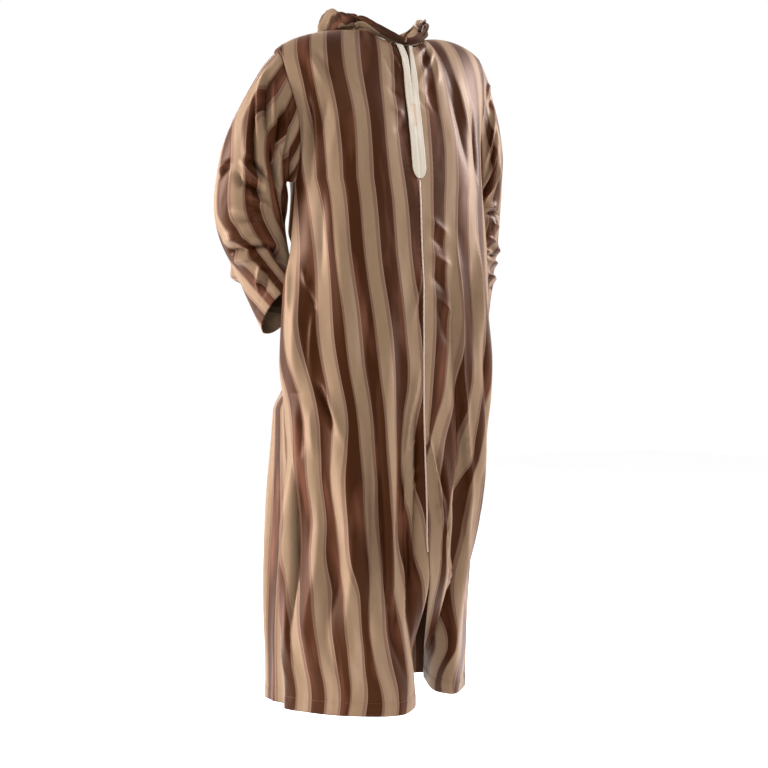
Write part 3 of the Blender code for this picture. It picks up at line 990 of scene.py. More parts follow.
    def finished(self, points: Array, toward: Array, across: Array) -> ClothGrid:
        """A grid with its flat cut and its thickness, thicker in the hem.

        Args:
            points: The shaped points.
            toward: The normals of the smooth form.
            across: The places across the cut.

        Returns:
            The grid.
        """
        up = lengths_along(points, 0)
        normals = one_sided(grid_normals(points), toward)
        return ClothGrid(points, normals, np.stack([across, up], axis=-1), self.wall.thickness(up))

    def edge(self, face: Face, side: Side, level: Array) -> Array:
        """Points of a half panel's side edge, such as its armhole.

        Args:
            face: The front or the back.
            side: The wearer's side.
            level: -1 at the hem, 0 at the underarm, 1 at the top edge.

        Returns:
            The points.
        """
        line = self.halves[face, side].shaped[:, 0]
        return np.stack([np.interp(level, self.levels, line[:, axis]) for axis in range(3)], axis=-1)


@dataclass
class SleeveCloth:
    """One sleeve: a tube from the armhole to its open cuff, crumpled at its bend."""

    side: Side
    body: BodyCloth
    creases: tuple[Crease, ...]
    columns: int = 170
    rows: int = 180
    set_out: float = 0.0006
    armhole_fade: float = 0.28
    cuff_turn: float = 0.45
    cuff_turn_from: float = 0.350
    cap_shift: float = 0.026
    cap_from: float = 0.09
    cap_to: float = 0.22
    arm_shift: float = 0.022
    arm_at: float = 0.155
    arm_reach: float = 0.055
    girth: float = 0.42
    length: float = 0.47
    wall: HemmedWall = HemmedWall()
    hem_line_reach: float = 0.0025
    seam_reach: float = 0.0030
    seam_dip: float = 0.0008
    seam_fade: float = 0.034
    hills: tuple[tuple[float, float, float], ...] = ((2.2, 0.09, 0.0016), (5.0, 0.03, 0.0006))
    hills_seed: int = 51

    # the right sleeve's oval rings, by their share of the way from the armhole to the cuff
    RINGS = Table(
        "along x y height half_across half_depth roll pitch left_in",
        (0.00, -0.222, 0.034, -0.182, 0.124, 0.062, 82, 0, 0.000),
        (0.20, -0.262, 0.043, -0.230, 0.088, 0.064, 64, 2, 0.006),
        (0.40, -0.274, 0.062, -0.304, 0.075, 0.067, 27, 6, 0.015),
        (0.62, -0.270, 0.080, -0.388, 0.069, 0.064, 2, 16, 0.009),
        (0.82, -0.242, 0.076, -0.474, 0.051, 0.058, -10, 32, -0.010),
        (1.00, -0.214, 0.058, -0.560, 0.038, 0.062, -18, 44, -0.018),
    )

    def armhole(self, share: Array) -> Array:
        """Points of the armhole: 0 at the underarm, up the front, 0.5 at the shoulder, down the back.

        Args:
            share: The way round the armhole.

        Returns:
            The points.
        """
        front = self.body.edge(Face.FRONT, self.side, np.minimum(2.0 * share, 1.0))
        back = self.body.edge(Face.BACK, self.side, np.minimum(2.0 - 2.0 * share, 1.0))
        return np.where((share <= 0.5)[..., None], front, back)

    def left_in(self, along: Array) -> Array:
        """How much narrower the left sleeve's rings are than the right's."""
        return self.RINGS.read("left_in", along) * (self.side is Side.LEFT)

    def centre(self, along: Array) -> Array:
        """The middle of the sleeve's rings."""
        x = -self.side.sign * (self.RINGS.read("x", along) + self.left_in(along))
        return np.stack([x, self.RINGS.read("y", along), self.RINGS.read("height", along)], axis=-1)

    def ring(self, share: Array, along: Array) -> Array:
        """Points of the sleeve's plain oval rings.

        Args:
            share: The way round the ring, as for the armhole.
            along: The share of the sleeve's length.

        Returns:
            The points.
        """
        share, along = np.broadcast_arrays(share, along)
        size = self.RINGS.read
        roll = np.radians(size("roll", along))
        pitch = np.radians(size("pitch", along))
        zero = np.zeros(along.shape)
        inward = np.stack([-self.side.sign * np.cos(roll), zero, -np.sin(roll)], axis=-1)
        forward = np.stack([zero, -np.cos(pitch), np.sin(pitch)], axis=-1)
        angle = 2.0 * np.pi * share
        across = ((size("half_across", along) - self.left_in(along)) * np.cos(angle))[..., None]
        deep = (size("half_depth", along) * np.sin(angle))[..., None]
        return self.centre(along) + inward * across + forward * deep

    def grid(self) -> ClothGrid:
        """The finished grid of the sleeve, its first row at the armhole.

        Returns:
            The grid.
        """
        share = np.linspace(0.0, 1.0, self.columns + 1)[None, :]
        along = np.linspace(0.0, 1.0, self.rows + 1)[:, None]
        out = np.array([self.side.sign * self.set_out, 0.0, 0.0])
        mismatch = self.armhole(share) + out - self.ring(share, np.zeros((1, 1)))
        fade = 1.0 - ease(0.0, self.armhole_fade, along)
        points = self.ring(share, along) + mismatch * fade[..., None]
        points[:, -1] = points[:, 0]
        toward = points - self.centre(along)
        normals = self.round_normals(points, toward)
        run = lengths_along(points, 0)
        from_cuff = run[-1:] - run
        move = self.crumples(share, along) * ease(0.0, self.seam_fade, run)
        move -= self.seam_dip * bell(run, self.seam_reach)
        move -= self.seam_dip * bell(from_cuff - self.wall.depth, self.hem_line_reach)
        lengths = lengths_along(points, 1)
        points = points + normals * move[..., None]
        points[:, -1] = points[:, 0]
        middle = self.columns // 2
        across = lengths - lengths[:, middle:middle + 1]
        across += self.cuff_turn * np.maximum(run - self.cuff_turn_from, 0.0)
        across -= self.cap_shift * (1.0 - ease(self.cap_from, self.cap_to, run))
        across -= self.arm_shift * bell(run - self.arm_at, self.arm_reach)
        cut = np.stack([across, run], axis=-1)
        normals = self.round_normals(points, toward)
        return ClothGrid(points, normals, cut, self.wall.thickness(from_cuff), closed=True)

    def crumples(self, share: Array, along: Array) -> Array:
        """The sleeve's creases, which run on round the tube, and its small uneven hills.

        Args:
            share: The way round the ring, as for the armhole.
            along: The share of the sleeve's length.

        Returns:
            The moves, outwards where above 0.
        """
        way_round = (share - 0.5) * self.girth + 0.0 * along
        down = along * self.length + 0.0 * share
        move = sum(creased(self.creases, way_round + turn * self.girth, down) for turn in (-1, 0, 1))
        hills = SoftNoise(self.hills_seed)
        angle = 2.0 * np.pi * share
        for radius, length, depth in self.hills:
            row = 3.0 + radius * np.cos(angle) + down / length
            move += depth * hills.read(row, 9.0 + radius * np.sin(angle) + 0.0 * down)
        return move

    @staticmethod
    def round_normals(points: Array, toward: Array) -> Array:
        """The normals of a grid whose last column is its first again, on the side of the vectors."""
        wide = np.concatenate([points[:, -2:-1], points, points[:, 1:2]], axis=1)
        return one_sided(grid_normals(wide)[:, 1:-1], toward)


@dataclass
class HoodCloth:
    """One half of the lowered hood, from the front of the neck to its centre seam at the back."""

    side: Side
    form: BodyForm
    creases: tuple[Crease, ...]
    columns: int = 110
    rows: int = 72
    top_level: float = 0.998
    neck_lay: float = 0.0016
    lay: float = 0.0080
    lay_full: float = 0.14
    lay_steps: tuple[float, ...] = (0.02, 0.14, 0.26, 0.42, 0.62, 0.82, 1.0)
    rise_steps: tuple[float, ...] = (0.33, 0.66, 1.0)
    fold_out: float = 0.010
    fold_drop: float = 0.004
    seam_half: float = 0.0004
    seam_fade: float = 0.03
    wall: HemmedWall = HemmedWall(hem=0.0020, depth=0.014)
    cut_shift: float = 0.029
    cut_slant: float = 0.25
    hills: tuple[tuple[float, float, float, float], ...] = (
        (0.0, 0.035, 0.05, 0.0012), (9.0, 0.012, 0.02, 0.0005),
    )
    hills_seed: int = 71

    # by the way round the neck: the fold's place on the panel below, and the edge's place and bow
    SECTIONS = Table(
        "way fold_share fold_level edge_x edge_y edge_height bow left_rise",
        (0.00, 0.995, 0.975, -0.004, -0.070, -0.022, 0.001, 0.000),
        (0.16, 0.860, 0.948, -0.040, -0.060, -0.004, 0.003, 0.004),
        (0.32, 0.730, 0.940, -0.070, -0.034, 0.014, 0.006, 0.010),
        (0.44, 0.580, 0.970, -0.089, -0.004, 0.033, 0.008, 0.014),
        (0.50, 0.540, 0.997, -0.097, 0.020, 0.042, 0.009, 0.012),
        (0.58, 0.520, 0.950, -0.104, 0.050, 0.054, 0.010, 0.008),
        (0.72, 0.520, 0.700, -0.104, 0.094, 0.048, 0.014, 0.002),
        (0.86, 0.720, 0.400, -0.068, 0.142, 0.036, 0.022, 0.000),
        (1.00, 1.000, 0.150, 0.000, 0.160, 0.026, 0.024, 0.000),
    )

    def profiles(self, way: Array) -> Array:
        """The hood's profiles: down over the panel, round the fold and up to the edge.

        Args:
            way: The way round the neck, 0 at the front and 1 at the centre back.

        Returns:
            The points, first by step down the profile and then by way.
        """
        corner = 0.5
        neck_share = self.form.neck_share
        front_share = 1.0 - (1.0 - neck_share) * np.minimum(way, corner) / corner
        back_share = neck_share + (1.0 - neck_share) * (np.maximum(way, corner) - corner) / (1.0 - corner)
        neck = np.where(way < corner, front_share, back_share)
        size = self.SECTIONS.read
        fold_share = np.clip(size("fold_share", way), 0.0, 1.0)
        fold_level = np.clip(size("fold_level", way), 0.0, 1.0)

        def on_panel(share: Array, level: Array, lift: float) -> Array:
            """Points lifted off the panel that the hood lies on there."""
            front, back = (HalfForm(self.form, face, self.side).lifted(share, level, lift) for face in Face)
            return np.where((way < corner)[..., None], front, back)

        steps = []
        for step in self.lay_steps:
            share = neck + (fold_share - neck) * step
            level = self.top_level + (fold_level - self.top_level) * step
            lift = self.neck_lay + (self.lay - self.neck_lay) * float(ease(0.0, self.lay_full, step))
            steps.append(on_panel(share, level, lift))
        fold = steps[-1]
        below = unit(fold - steps[0])
        out = on_panel(fold_share, fold_level, self.lay + self.fold_out) - fold
        start = fold + out
        steps += [fold + out * 0.5 + below * self.fold_drop, start]
        height = size("edge_height", way) + size("left_rise", way) * (self.side is Side.LEFT)
        edge = np.stack([-self.side.sign * size("edge_x", way), size("edge_y", way), height], axis=-1)
        bow = unit(out) * size("bow", way)[..., None]
        steps += [start + (edge - start) * step + bow * bowed(step) for step in self.rise_steps]
        return np.stack(steps)

    def grid(self) -> ClothGrid:
        """The finished grid of the hood half, its first row at the neckline.

        Returns:
            The grid.
        """
        way = np.linspace(0.0, 1.0, self.columns + 1)
        rough = self.profiles(way)
        run = lengths_along(rough, 0)
        share = (run / run[-1:]).mean(axis=1)
        points = smooth_through(share, rough, np.linspace(0.0, 1.0, self.rows + 1))
        normals = self.fold_normals(points)
        down = lengths_along(points, 0)
        round_neck = lengths_along(points, 1)
        move = creased(self.creases, round_neck, down)
        hills = SoftNoise(self.hills_seed)
        for place, across, along, depth in self.hills:
            move += depth * hills.read(place + round_neck / across, down / along)
        from_seam = round_neck[:, -1:] - round_neck
        move = move * ease(0.0, self.seam_fade, down) * ease(0.0, self.seam_fade, from_seam)
        points = points + normals * move[..., None]
        points[..., 0] = self.side.sign * np.maximum(self.side.sign * points[..., 0], self.seam_half)
        normals = self.fold_normals(points)
        cut = np.stack([down - self.cut_slant * round_neck + self.cut_shift, round_neck], axis=-1)
        return ClothGrid(points, normals, cut, self.wall.thickness(down[-1:] - down))

    def fold_normals(self, points: Array) -> Array:
        """The normals of the hood's grid, towards the panel near the neck and outwards past the fold.

        Args:
            points: The grid's points.

        Returns:
            The normals.
        """
        normals = grid_normals(points)
        past_fold = normals[-8:, points.shape[1] // 2].mean(axis=0)
        outward = np.array([self.side.sign, 0.4, 0.3])
        return normals if (past_fold * outward).sum() > 0.0 else -normals


class FrontSurface:
    """The outer side of the two front panels, read by lengths across and down the centre front."""

    SEAM_BLEND = 0.004

    def __init__(self, right: ClothGrid, left: ClothGrid) -> None:
        """Measure both panels from the centre front line and the neckline.

        Args:
            right: The right panel, its last column at the centre.
            left: The left panel, its last column at the centre.
        """
        self.sides = {}
        for side, grid in ((Side.RIGHT, right), (Side.LEFT, left)):
            points = grid.outer[::-1, ::-1]
            normals = grid.normals[::-1, ::-1]
            self.sides[side] = (points, normals, lengths_along(points, 1))
        self.down = lengths_along(self.sides[Side.RIGHT][0], 0)[:, 0]

    def read(self, across: float, down: float) -> tuple[Array, Array]:
        """Read the surface at one place.

        Args:
            across: The length from the centre front, below 0 on the wearer's right.
            down: The length down the centre front from the neckline.

        Returns:
            The point and its normal.
        """
        here, other = (Side.RIGHT, Side.LEFT) if across < 0.0 else (Side.LEFT, Side.RIGHT)
        points, normals, run = self.sides[here]
        away = abs(across)
        row = min(int(np.searchsorted(self.down, down, side="right")) - 1, len(self.down) - 2)
        part = (down - self.down[row]) / (self.down[row + 1] - self.down[row])
        found = []
        for line in (row, row + 1):
            column = min(int(np.searchsorted(run[line], away, side="right")) - 1, run.shape[1] - 2)
            share = (away - run[line, column]) / (run[line, column + 1] - run[line, column])
            found.append([
                values[line, column] * (1.0 - share) + values[line, column + 1] * share
                for values in (points, normals)
            ])
        point, normal = (low * (1.0 - part) + high * part for low, high in zip(*found))
        if away < self.SEAM_BLEND:
            blend = 0.5 * (1.0 - away / self.SEAM_BLEND)
            normal = normal * (1.0 - blend) + self.sides[other][1][row, 0] * blend
        return point, unit(normal)

    def grid(self, across: Array, down: Array, lift: Array | float) -> tuple[Array, Array]:
        """Read a grid of places and move them out.

        Args:
            across: The lengths from the centre front.
            down: The lengths down from the neckline.
            lift: How far each point moves out.

        Returns:
            The points and their normals.
        """
        across, down, lift = np.broadcast_arrays(across, down, lift)
        read = [self.read(float(a), float(d)) for a, d in zip(across.ravel(), down.ravel())]
        points, normals = (np.array(values).reshape(*across.shape, 3) for values in zip(*read))
        return points + normals * lift[..., None], normals


@dataclass
class Sewing:
    """Runs of stitches along lines on the cloth, gathered into one mesh.

    Each stitch is a short rounded bar of thread that dips into the cloth at both ends.
    """

    length: float = 0.0030
    pitch: float = 0.0042
    radius: float = 0.00030
    sides: int = 5
    points: list[Array] = field(default_factory=list)

    # places along a stitch in its lengths, then its thickness and its rise there in radii
    STATIONS = ((-0.5, 0.25, -0.7), (-0.28, 0.9, 0.35), (0.28, 0.9, 0.35), (0.5, 0.25, -0.7))

    def bar(self) -> Array:
        """One stitch along X with its top towards Z.

        Returns:
            Its points.
        """
        turns = [2.0 * math.pi * corner / self.sides for corner in range(self.sides)]
        return np.array([
            (
                along * self.length,
                thick * self.radius * math.cos(angle),
                self.radius * (rise + thick * math.sin(angle)),
            )
            for along, thick, rise in self.STATIONS for angle in turns
        ])

    def faces(self, first: int) -> list[tuple[int, ...]]:
        """The faces of one stitch.

        Args:
            first: The number of the stitch's first point.

        Returns:
            The numbers of each face's points.
        """
        sides = self.sides
        starts = [first + sides * station for station in range(len(self.STATIONS))]
        corners = [(corner, (corner + 1) % sides) for corner in range(sides)]
        quads = [
            (start + near, start + far, start + far + sides, start + near + sides)
            for start in starts[:-1] for near, far in corners
        ]
        foot, head = (tuple(range(start, start + sides)) for start in (starts[0], starts[-1]))
        return [foot[::-1], *quads, head]

    def run(self, line: Array, normals: Array) -> None:
        """Sew stitches along a line.

        Args:
            line: Points of the line on the cloth's surface.
            normals: The cloth's normals there.
        """
        reach = lengths_along(line, 0)
        count = int(reach[-1] / self.pitch)
        if count < 1:
            return
        middle = (np.arange(count) + 0.5) * reach[-1] / count
        half = 0.5 * self.length

        def at(places: Array, values: Array) -> Array:
            """Values read along the line."""
            return np.stack([np.interp(places, reach, values[:, axis]) for axis in range(3)], axis=-1)

        centre = at(middle, line)
        along = unit(at(middle + half, line) - at(middle - half, line))
        up = at(middle, normals)
        up = unit(up - along * (up * along).sum(axis=-1, keepdims=True))
        across = np.cross(up, along)
        points = self.bar()
        self.points.extend(
            centre[:, None] + along[:, None] * points[None, :, :1]
            + across[:, None] * points[None, :, 1:2] + up[:, None] * points[None, :, 2:]
        )

    def build(self, name: str, material: bpy.types.Material) -> bpy.types.Object:
        """Make the stitches one piece.

        Args:
            name: The piece's name.
            material: The thread's finish.

        Returns:
            The piece.
        """
        size = len(self.STATIONS) * self.sides
        faces = [face for number in range(len(self.points)) for face in self.faces(number * size)]
        mesh = bpy.data.meshes.new(name)
        mesh.from_pydata(np.concatenate(self.points).tolist(), [], faces)
        mesh.materials.append(material)
        mesh.shade_smooth()
        return add_to_scene(name, mesh)


@dataclass
class Placket:
    """The cream neck placket: one strip with a slit, two ends turned back at the neck, and a point.

    Its sizes across are reaches from the centre front, and its sizes down are lengths from the neckline.
    """

    surface: FrontSurface
    start: float = 0.0030
    end: float = 0.281
    half_right: float = 0.0160
    half_left: float = 0.0150
    top_right: float = 0.0185
    narrow_left: float = 0.0100
    top_left: float = 0.0150
    point_length: float = 0.026
    slit_length: float = 0.083
    slit_foot: float = 0.0003
    slit_middle: float = 0.0009
    slit_top: float = 0.0028
    lift: float = 0.0011
    hill: float = 0.0006
    hill_seed: int = 81
    roll: float = 0.0012
    roll_reach: float = 0.006
    wall: float = 0.0013
    rows: int = 150
    columns: int = 16
    edge_inset: float = 0.0018
    slit_inset: float = 0.0022
    under_slit_half: float = 0.0062
    under_slit_depth: float = 0.011
    diamonds: int = 5
    diamond_top: float = 0.132
    diamond_pitch: float = 0.0095
    diamond_half_high: float = 0.0041
    diamond_half_wide: float = 0.0046

    def outline(self, down: Array) -> tuple[Array, Array, Array]:
        """How far the strip reaches to both sides, and half the slit's width.

        Args:
            down: Lengths down from the neckline.

        Returns:
            The reach to the wearer's right, the reach to the left, and the slit's half width.
        """
        right = self.half_right + (self.top_right - self.half_right) * (1.0 - ease(0.0, 0.075, down))
        left = self.narrow_left + (self.half_left - self.narrow_left) * ease(0.012, 0.085, down)
        left = left + (self.top_left - self.narrow_left) * (1.0 - ease(0.0, 0.014, down))
        share = np.clip((self.end - down) / self.point_length, 0.0, 1.0)
        taper = np.sqrt(np.clip(1.0 - (1.0 - share) ** 2.0, 0.0, 1.0)) ** 0.9
        slit = self.slit_foot + self.slit_middle * (1.0 - ease(0.030, self.slit_length, down))
        slit += self.slit_top * (1.0 - ease(0.002, 0.034, down))
        return right * taper, left * taper, np.minimum(slit, 0.3 * left * taper)

    def grid(self) -> ClothGrid:
        """The finished grid of the placket, with its rows closer together near the point.

        Returns:
            The grid.
        """
        near_point = 1.0 - (1.0 - np.linspace(0.0, 1.0, self.rows + 1)) ** 1.35
        down = self.start + (self.end - 0.0002 - self.start) * near_point
        right, left, slit = self.outline(down)
        part = np.linspace(0.0, 1.0, self.columns + 1)
        right_half = -(right[:, None] + (slit - right)[:, None] * part)
        left_half = slit[:, None] + (left - slit)[:, None] * part
        across = np.concatenate([right_half, left_half], axis=1)
        rows = down[:, None] + 0.0 * across
        lift = self.lift + self.hill * SoftNoise(self.hill_seed).read(across / 0.012 + 5.0, rows / 0.03)
        lift += self.roll * bell(rows - self.start, self.roll_reach)
        points, normals = self.surface.grid(across, rows, lift + 0.5 * self.wall)
        absent = np.zeros((self.rows, across.shape[1] - 1), bool)
        absent[down[:-1] < self.slit_length, self.columns] = True
        wall = np.full(across.shape, self.wall)
        return ClothGrid(points, normals, np.stack([across, rows], axis=-1), wall, absent=absent)

    def sew_line(self, thread: Sewing, across: Array, down: Array) -> None:
        """Sew a line on the placket's outer side.

        Args:
            thread: The stitches.
            across: The lengths from the centre front.
            down: The lengths down from the neckline.
        """
        thread.run(*self.surface.grid(across, down, self.lift + self.wall + 0.0002))

    def sew(self, thread: Sewing, mark: Sewing, ends: Sewing) -> None:
        """Sew the edges and the point under the slit, the diamonds, and a line on each turned end.

        Args:
            thread: The stitches in the placket's own thread.
            mark: The stitches of the row of diamonds.
            ends: The dark stitches of the turned ends.
        """
        edge = np.linspace(self.start + 0.002, self.end - 0.004, 140)
        right, left, _ = self.outline(edge)
        slit = np.linspace(self.start + 0.002, self.slit_length, 40)
        clear = self.outline(slit)[2] + self.slit_inset
        under = np.linspace(self.slit_length, self.slit_length + self.under_slit_depth, 12)
        to_middle = np.linspace(self.under_slit_half, 0.0, 12)
        lines = (
            (edge, np.maximum(right - self.edge_inset, 0.0005), np.maximum(left - self.edge_inset, 0.0005)),
            (slit, clear, clear),
            (under, to_middle, to_middle),
        )
        for down, to_right, to_left in lines:
            self.sew_line(thread, -to_right, down)
            self.sew_line(thread, to_left, down)
        turn = np.radians(np.arange(0, 361, 90))
        for number in range(self.diamonds):
            down = self.diamond_top + self.diamond_pitch * number + self.diamond_half_high * np.cos(turn)
            self.sew_line(mark, self.diamond_half_wide * np.sin(turn), down)
        for low, high in ((-self.top_right + 0.004, -0.003), (0.003, self.top_left - 0.004)):
            across = np.linspace(low, high, 10)
            self.sew_line(ends, across, np.full(across.shape, self.start + self.roll_reach))


@dataclass
class Piping:
    """The thin rounded piping down the centre front, from the placket to the top of the slit."""

    surface: FrontSurface
    start: float = 0.2835
    end_height: float = -1.0320
    half_width: float = 0.0017
    height: float = 0.0011
    lift: float = 0.0003
    wall: float = 0.0004
    row_length: float = 0.004
    columns: int = 8
    uneven: float = 0.18
    uneven_length: float = 0.011
    uneven_seed: int = 83

    def grid(self) -> ClothGrid:
        """The finished grid of the piping.

        Returns:
            The grid.
        """
        height = self.surface.sides[Side.RIGHT][0][:, 0, 2]
        end = float(np.interp(-self.end_height, -height, self.surface.down))
        rows = int((end - self.start) / self.row_length)
        down = np.linspace(self.start, end, rows + 1)[:, None]
        turn = np.linspace(0.0, np.pi, self.columns + 1)[None, :]
        across = -self.half_width * np.cos(turn) + 0.0 * down
        down = down + 0.0 * across
        uneven = SoftNoise(self.uneven_seed).read(down / self.uneven_length, 0.0 * down + 3.0)
        lift = self.lift + self.height * np.sin(turn) * (1.0 + self.uneven * uneven)
        points, _ = self.surface.grid(across, down, lift)
        normals = one_sided(grid_normals(points), points - points[:, :1] + np.array([0.0, -0.01, 0.0]))
        cut = np.stack([across, down], axis=-1)
        return ClothGrid(points, normals, cut, np.full(across.shape, self.wall))


class NodeBoard:
    """Places shader nodes in one material and joins them.

    Where a method takes a value, that is a socket to join or a number, vector or tone to set.
    """

    def __init__(self, name: str) -> None:
        """Start a material with a plain surface shader.

        Args:
            name: The material's name.
        """
        self.material = bpy.data.materials.new(name)
        self.material.use_nodes = True
        self.tree = self.material.node_tree
        self.shader = self.tree.nodes["Principled BSDF"]

    def node(self, kind: str, inputs: dict[str | int, object], **settings: object) -> bpy.types.Node:
        """Add a node.

        Args:
            kind: The node's type.
            inputs: The values of its inputs, by their names or places.
            settings: Its other settings.

        Returns:
            The node.
        """
        made = self.tree.nodes.new(kind)
        for key, value in settings.items():
            setattr(made, key, value)
        self.feed(made, inputs)
        return made

    def feed(self, node: bpy.types.Node, inputs: dict[str | int, object]) -> None:
        """Join or set some inputs of a node.

        Args:
            node: The node.
            inputs: The values of its inputs, by their names or places.
        """
        for key, value in inputs.items():
            if isinstance(value, bpy.types.NodeSocket):
                self.tree.links.new(value, node.inputs[key])
            elif isinstance(value, tuple):
                node.inputs[key].default_value = (*value, 1.0)[:len(node.inputs[key].default_value)]
            else:
                node.inputs[key].default_value = value

    def maths(self, operation: str, first: object, second: object = 0.0) -> bpy.types.NodeSocket:
        """Add an operation on one or two values."""
        return self.node("ShaderNodeMath", {0: first, 1: second}, operation=operation).outputs[0]

    def noise(self, place: bpy.types.NodeSocket, scale: float, detail: float) -> bpy.types.NodeSocket:
        """A soft noise from 0 to 1 at a place."""
        inputs = {"Vector": place, "Scale": scale, "Detail": detail}
        return self.node("ShaderNodeTexNoise", inputs).outputs["Fac"]

    def cut_place(self, across: float = 1.0, down: float = 1.0) -> bpy.types.NodeSocket:
        """The place on the flat cut in metres, scaled across and down."""
        cut = self.node("ShaderNodeUVMap", {}, uv_map=CUT_MAP).outputs["UV"]
        return self.node("ShaderNodeMapping", {"Vector": cut, "Scale": (across, down, 1.0)}).outputs["Vector"]

    def cut_noise(self, across: float, down: float, detail: float = 2.0) -> bpy.types.NodeSocket:
        """A soft noise from 0 to 1 over the flat cut, by its changes a metre across and down."""
        return self.noise(self.cut_place(across, down), 1.0, detail)

    def spread(self, value: bpy.types.NodeSocket, low: float, high: float) -> bpy.types.NodeSocket:
        """Spread a value of 0 to 1 between two bounds."""
        inputs = {"Value": value, "To Min": low, "To Max": high}
        return self.node("ShaderNodeMapRange", inputs).outputs["Result"]

    def toned(self, colour: object, factor: bpy.types.NodeSocket) -> bpy.types.NodeSocket:
        """Multiply a colour by a factor."""
        made = self.node("ShaderNodeVectorMath", {"Vector": colour, "Scale": factor}, operation="SCALE")
        return made.outputs["Vector"]

    def bump(self, height: bpy.types.NodeSocket, strength: float, distance: float) -> bpy.types.NodeSocket:
        """The normal of a surface that is roughened by a height."""
        inputs = {"Height": height, "Strength": strength, "Distance": distance}
        return self.node("ShaderNodeBump", inputs).outputs["Normal"]

    def finish(self, inputs: dict[str | int, object]) -> bpy.types.Material:
        """Join or set the surface shader's inputs, and give the finished material."""
        self.feed(self.shader, inputs)
        return self.material


@dataclass(frozen=True)
class StripedSatin:
    """Satin cloth woven in brown and tan stripes, with fine slubs down its length.

    Where a soft noise over the cut says so, its tan and dark stripes take lighter tones: a painted sheen, not
    light from the lamps.
    """

    name: str = "striped_satin"
    tan: Colour = (0.158, 0.103, 0.064)
    pale_line: Colour = (0.112, 0.063, 0.043)
    hairline: Colour = (0.170, 0.112, 0.078)
    dark: Colour = (0.021, 0.0046, 0.0006)
    brown_line: Colour = (0.100, 0.055, 0.036)
    # painted sheen: lighter tan and dark tones, and the noise bounds between which they are mixed over the
    # plain stripes
    painted_sheen_tan: Colour = (0.205, 0.138, 0.094)
    painted_sheen_dark: Colour = (0.090, 0.031, 0.018)
    painted_sheen_from: float = 0.50
    painted_sheen_full: float = 0.74
    roughness_dark: float = 0.44
    roughness_tan: float = 0.48
    sheen: float = 0.14
    sheen_tone: Colour = (1.0, 0.50, 0.30)
    sheen_roughness: float = 0.35
    specular: float = 0.20
    specular_tone: Colour = (1.0, 0.52, 0.30)
    stripe_waver: float = 0.0009

    def build(self) -> bpy.types.Material:
        """Make the finish.

        Returns:
            The material.
        """
        board = NodeBoard(self.name)
        place = board.node("ShaderNodeSeparateXYZ", {"Vector": board.cut_place()}).outputs["X"]
        waver = board.maths("SUBTRACT", board.cut_noise(140.0, 9.0), 0.5)
        across = board.maths("ADD", place, board.maths("MULTIPLY", waver, self.stripe_waver))
        repeat = board.maths("FRACT", board.maths("DIVIDE", across, WEAVE.period))
        lines = (self.pale_line, self.hairline)
        plain = self.ramp(board, repeat, (self.tan, *lines, self.dark, self.brown_line))
        # painted sheen: the stripes again in lighter tones, which stand in for the satin's highlights
        painted_sheen_tones = self.ramp(board, repeat, (self.painted_sheen_tan, *lines, self.painted_sheen_dark, self.brown_line))
        rough, smooth = (self.roughness_tan,) * 3, (self.roughness_dark,) * 3
        gloss = self.ramp(board, repeat, (rough, rough, rough, smooth, smooth))
        slubs = board.cut_noise(1400.0, 45.0)
        cloudy = board.cut_noise(14.0, 6.0, 3.0)
        tone = board.maths("MULTIPLY", board.spread(slubs, 0.84, 1.16), board.spread(cloudy, 0.92, 1.08))
        # painted sheen: a noise decides where the lighter tones are mixed in
        share = board.node("ShaderNodeMapRange", {
            "Value": board.cut_noise(26.0, 4.5), "From Min": self.painted_sheen_from, "From Max": self.painted_sheen_full,
        }).outputs["Result"]
        mix = board.node("ShaderNodeMix", {}, data_type="RGBA")
        board.feed(mix, {"Factor": share, "A": plain, "B": painted_sheen_tones})
        return board.finish({
            "Base Color": board.toned(mix.outputs["Result"], tone),
            "Roughness": board.maths("ADD", gloss, board.spread(cloudy, -0.05, 0.05)),
            "Normal": board.bump(slubs, 0.25, 0.0004),
            "Specular IOR Level": self.specular,
            "Specular Tint": self.specular_tone,
            "Sheen Weight": self.sheen,
            "Sheen Roughness": self.sheen_roughness,
            "Sheen Tint": self.sheen_tone,
        })

    @staticmethod
    def ramp(board: NodeBoard, repeat: bpy.types.NodeSocket, tones: Sequence[Colour]) -> bpy.types.NodeSocket:
        """Add a ramp over the repeat that holds its five stripes, with soft edges.

        Args:
            board: The material's nodes.
            repeat: The place in the repeat, from 0 to 1.
            tones: The tones of the tan, pale line, hairline, dark and brown line.

        Returns:
            The colour's socket.
        """
        made = board.node("ShaderNodeValToRGB", {"Fac": repeat})
        soft = 0.0006 / WEAVE.period
        start = 0.0
        stops = []
        for width, tone in zip(WEAVE.widths, tones):
            share = width / WEAVE.period
            stops += [(start + soft, tone), (start + share - soft, tone)]
            start += share
        elements = made.color_ramp.elements
        while len(elements) < len(stops):
            elements.new(0.5)
        for element, (place, tone) in zip(elements, stops):
            element.position = min(max(place, 0.0), 1.0)
            element.color = (*tone, 1.0)
        return made.outputs["Color"]


@dataclass(frozen=True)
class PlainCloth:
    """Plain woven cloth or thread of one colour, with a fine weave and soft changes of tone."""

    name: str
    tone: Colour
    roughness: float = 0.6
    sheen: float = 0.15
    sheen_roughness: float = 0.4
    threads: float = 900.0
    depth: float = 0.0003

    def build(self) -> bpy.types.Material:
        """Make the finish.

        Returns:
            The material.
        """
        board = NodeBoard(self.name)
        threads = board.cut_noise(self.threads, self.threads)
        cloudy = board.cut_noise(60.0, 25.0, 3.0)
        factor = board.maths("MULTIPLY", board.spread(threads, 0.90, 1.10), board.spread(cloudy, 0.90, 1.08))
        return board.finish({
            "Base Color": board.toned(self.tone, factor),
            "Roughness": board.spread(cloudy, self.roughness - 0.06, self.roughness + 0.06),
            "Normal": board.bump(threads, 0.3, self.depth),
            "Sheen Weight": self.sheen,
            "Sheen Roughness": self.sheen_roughness,
        })


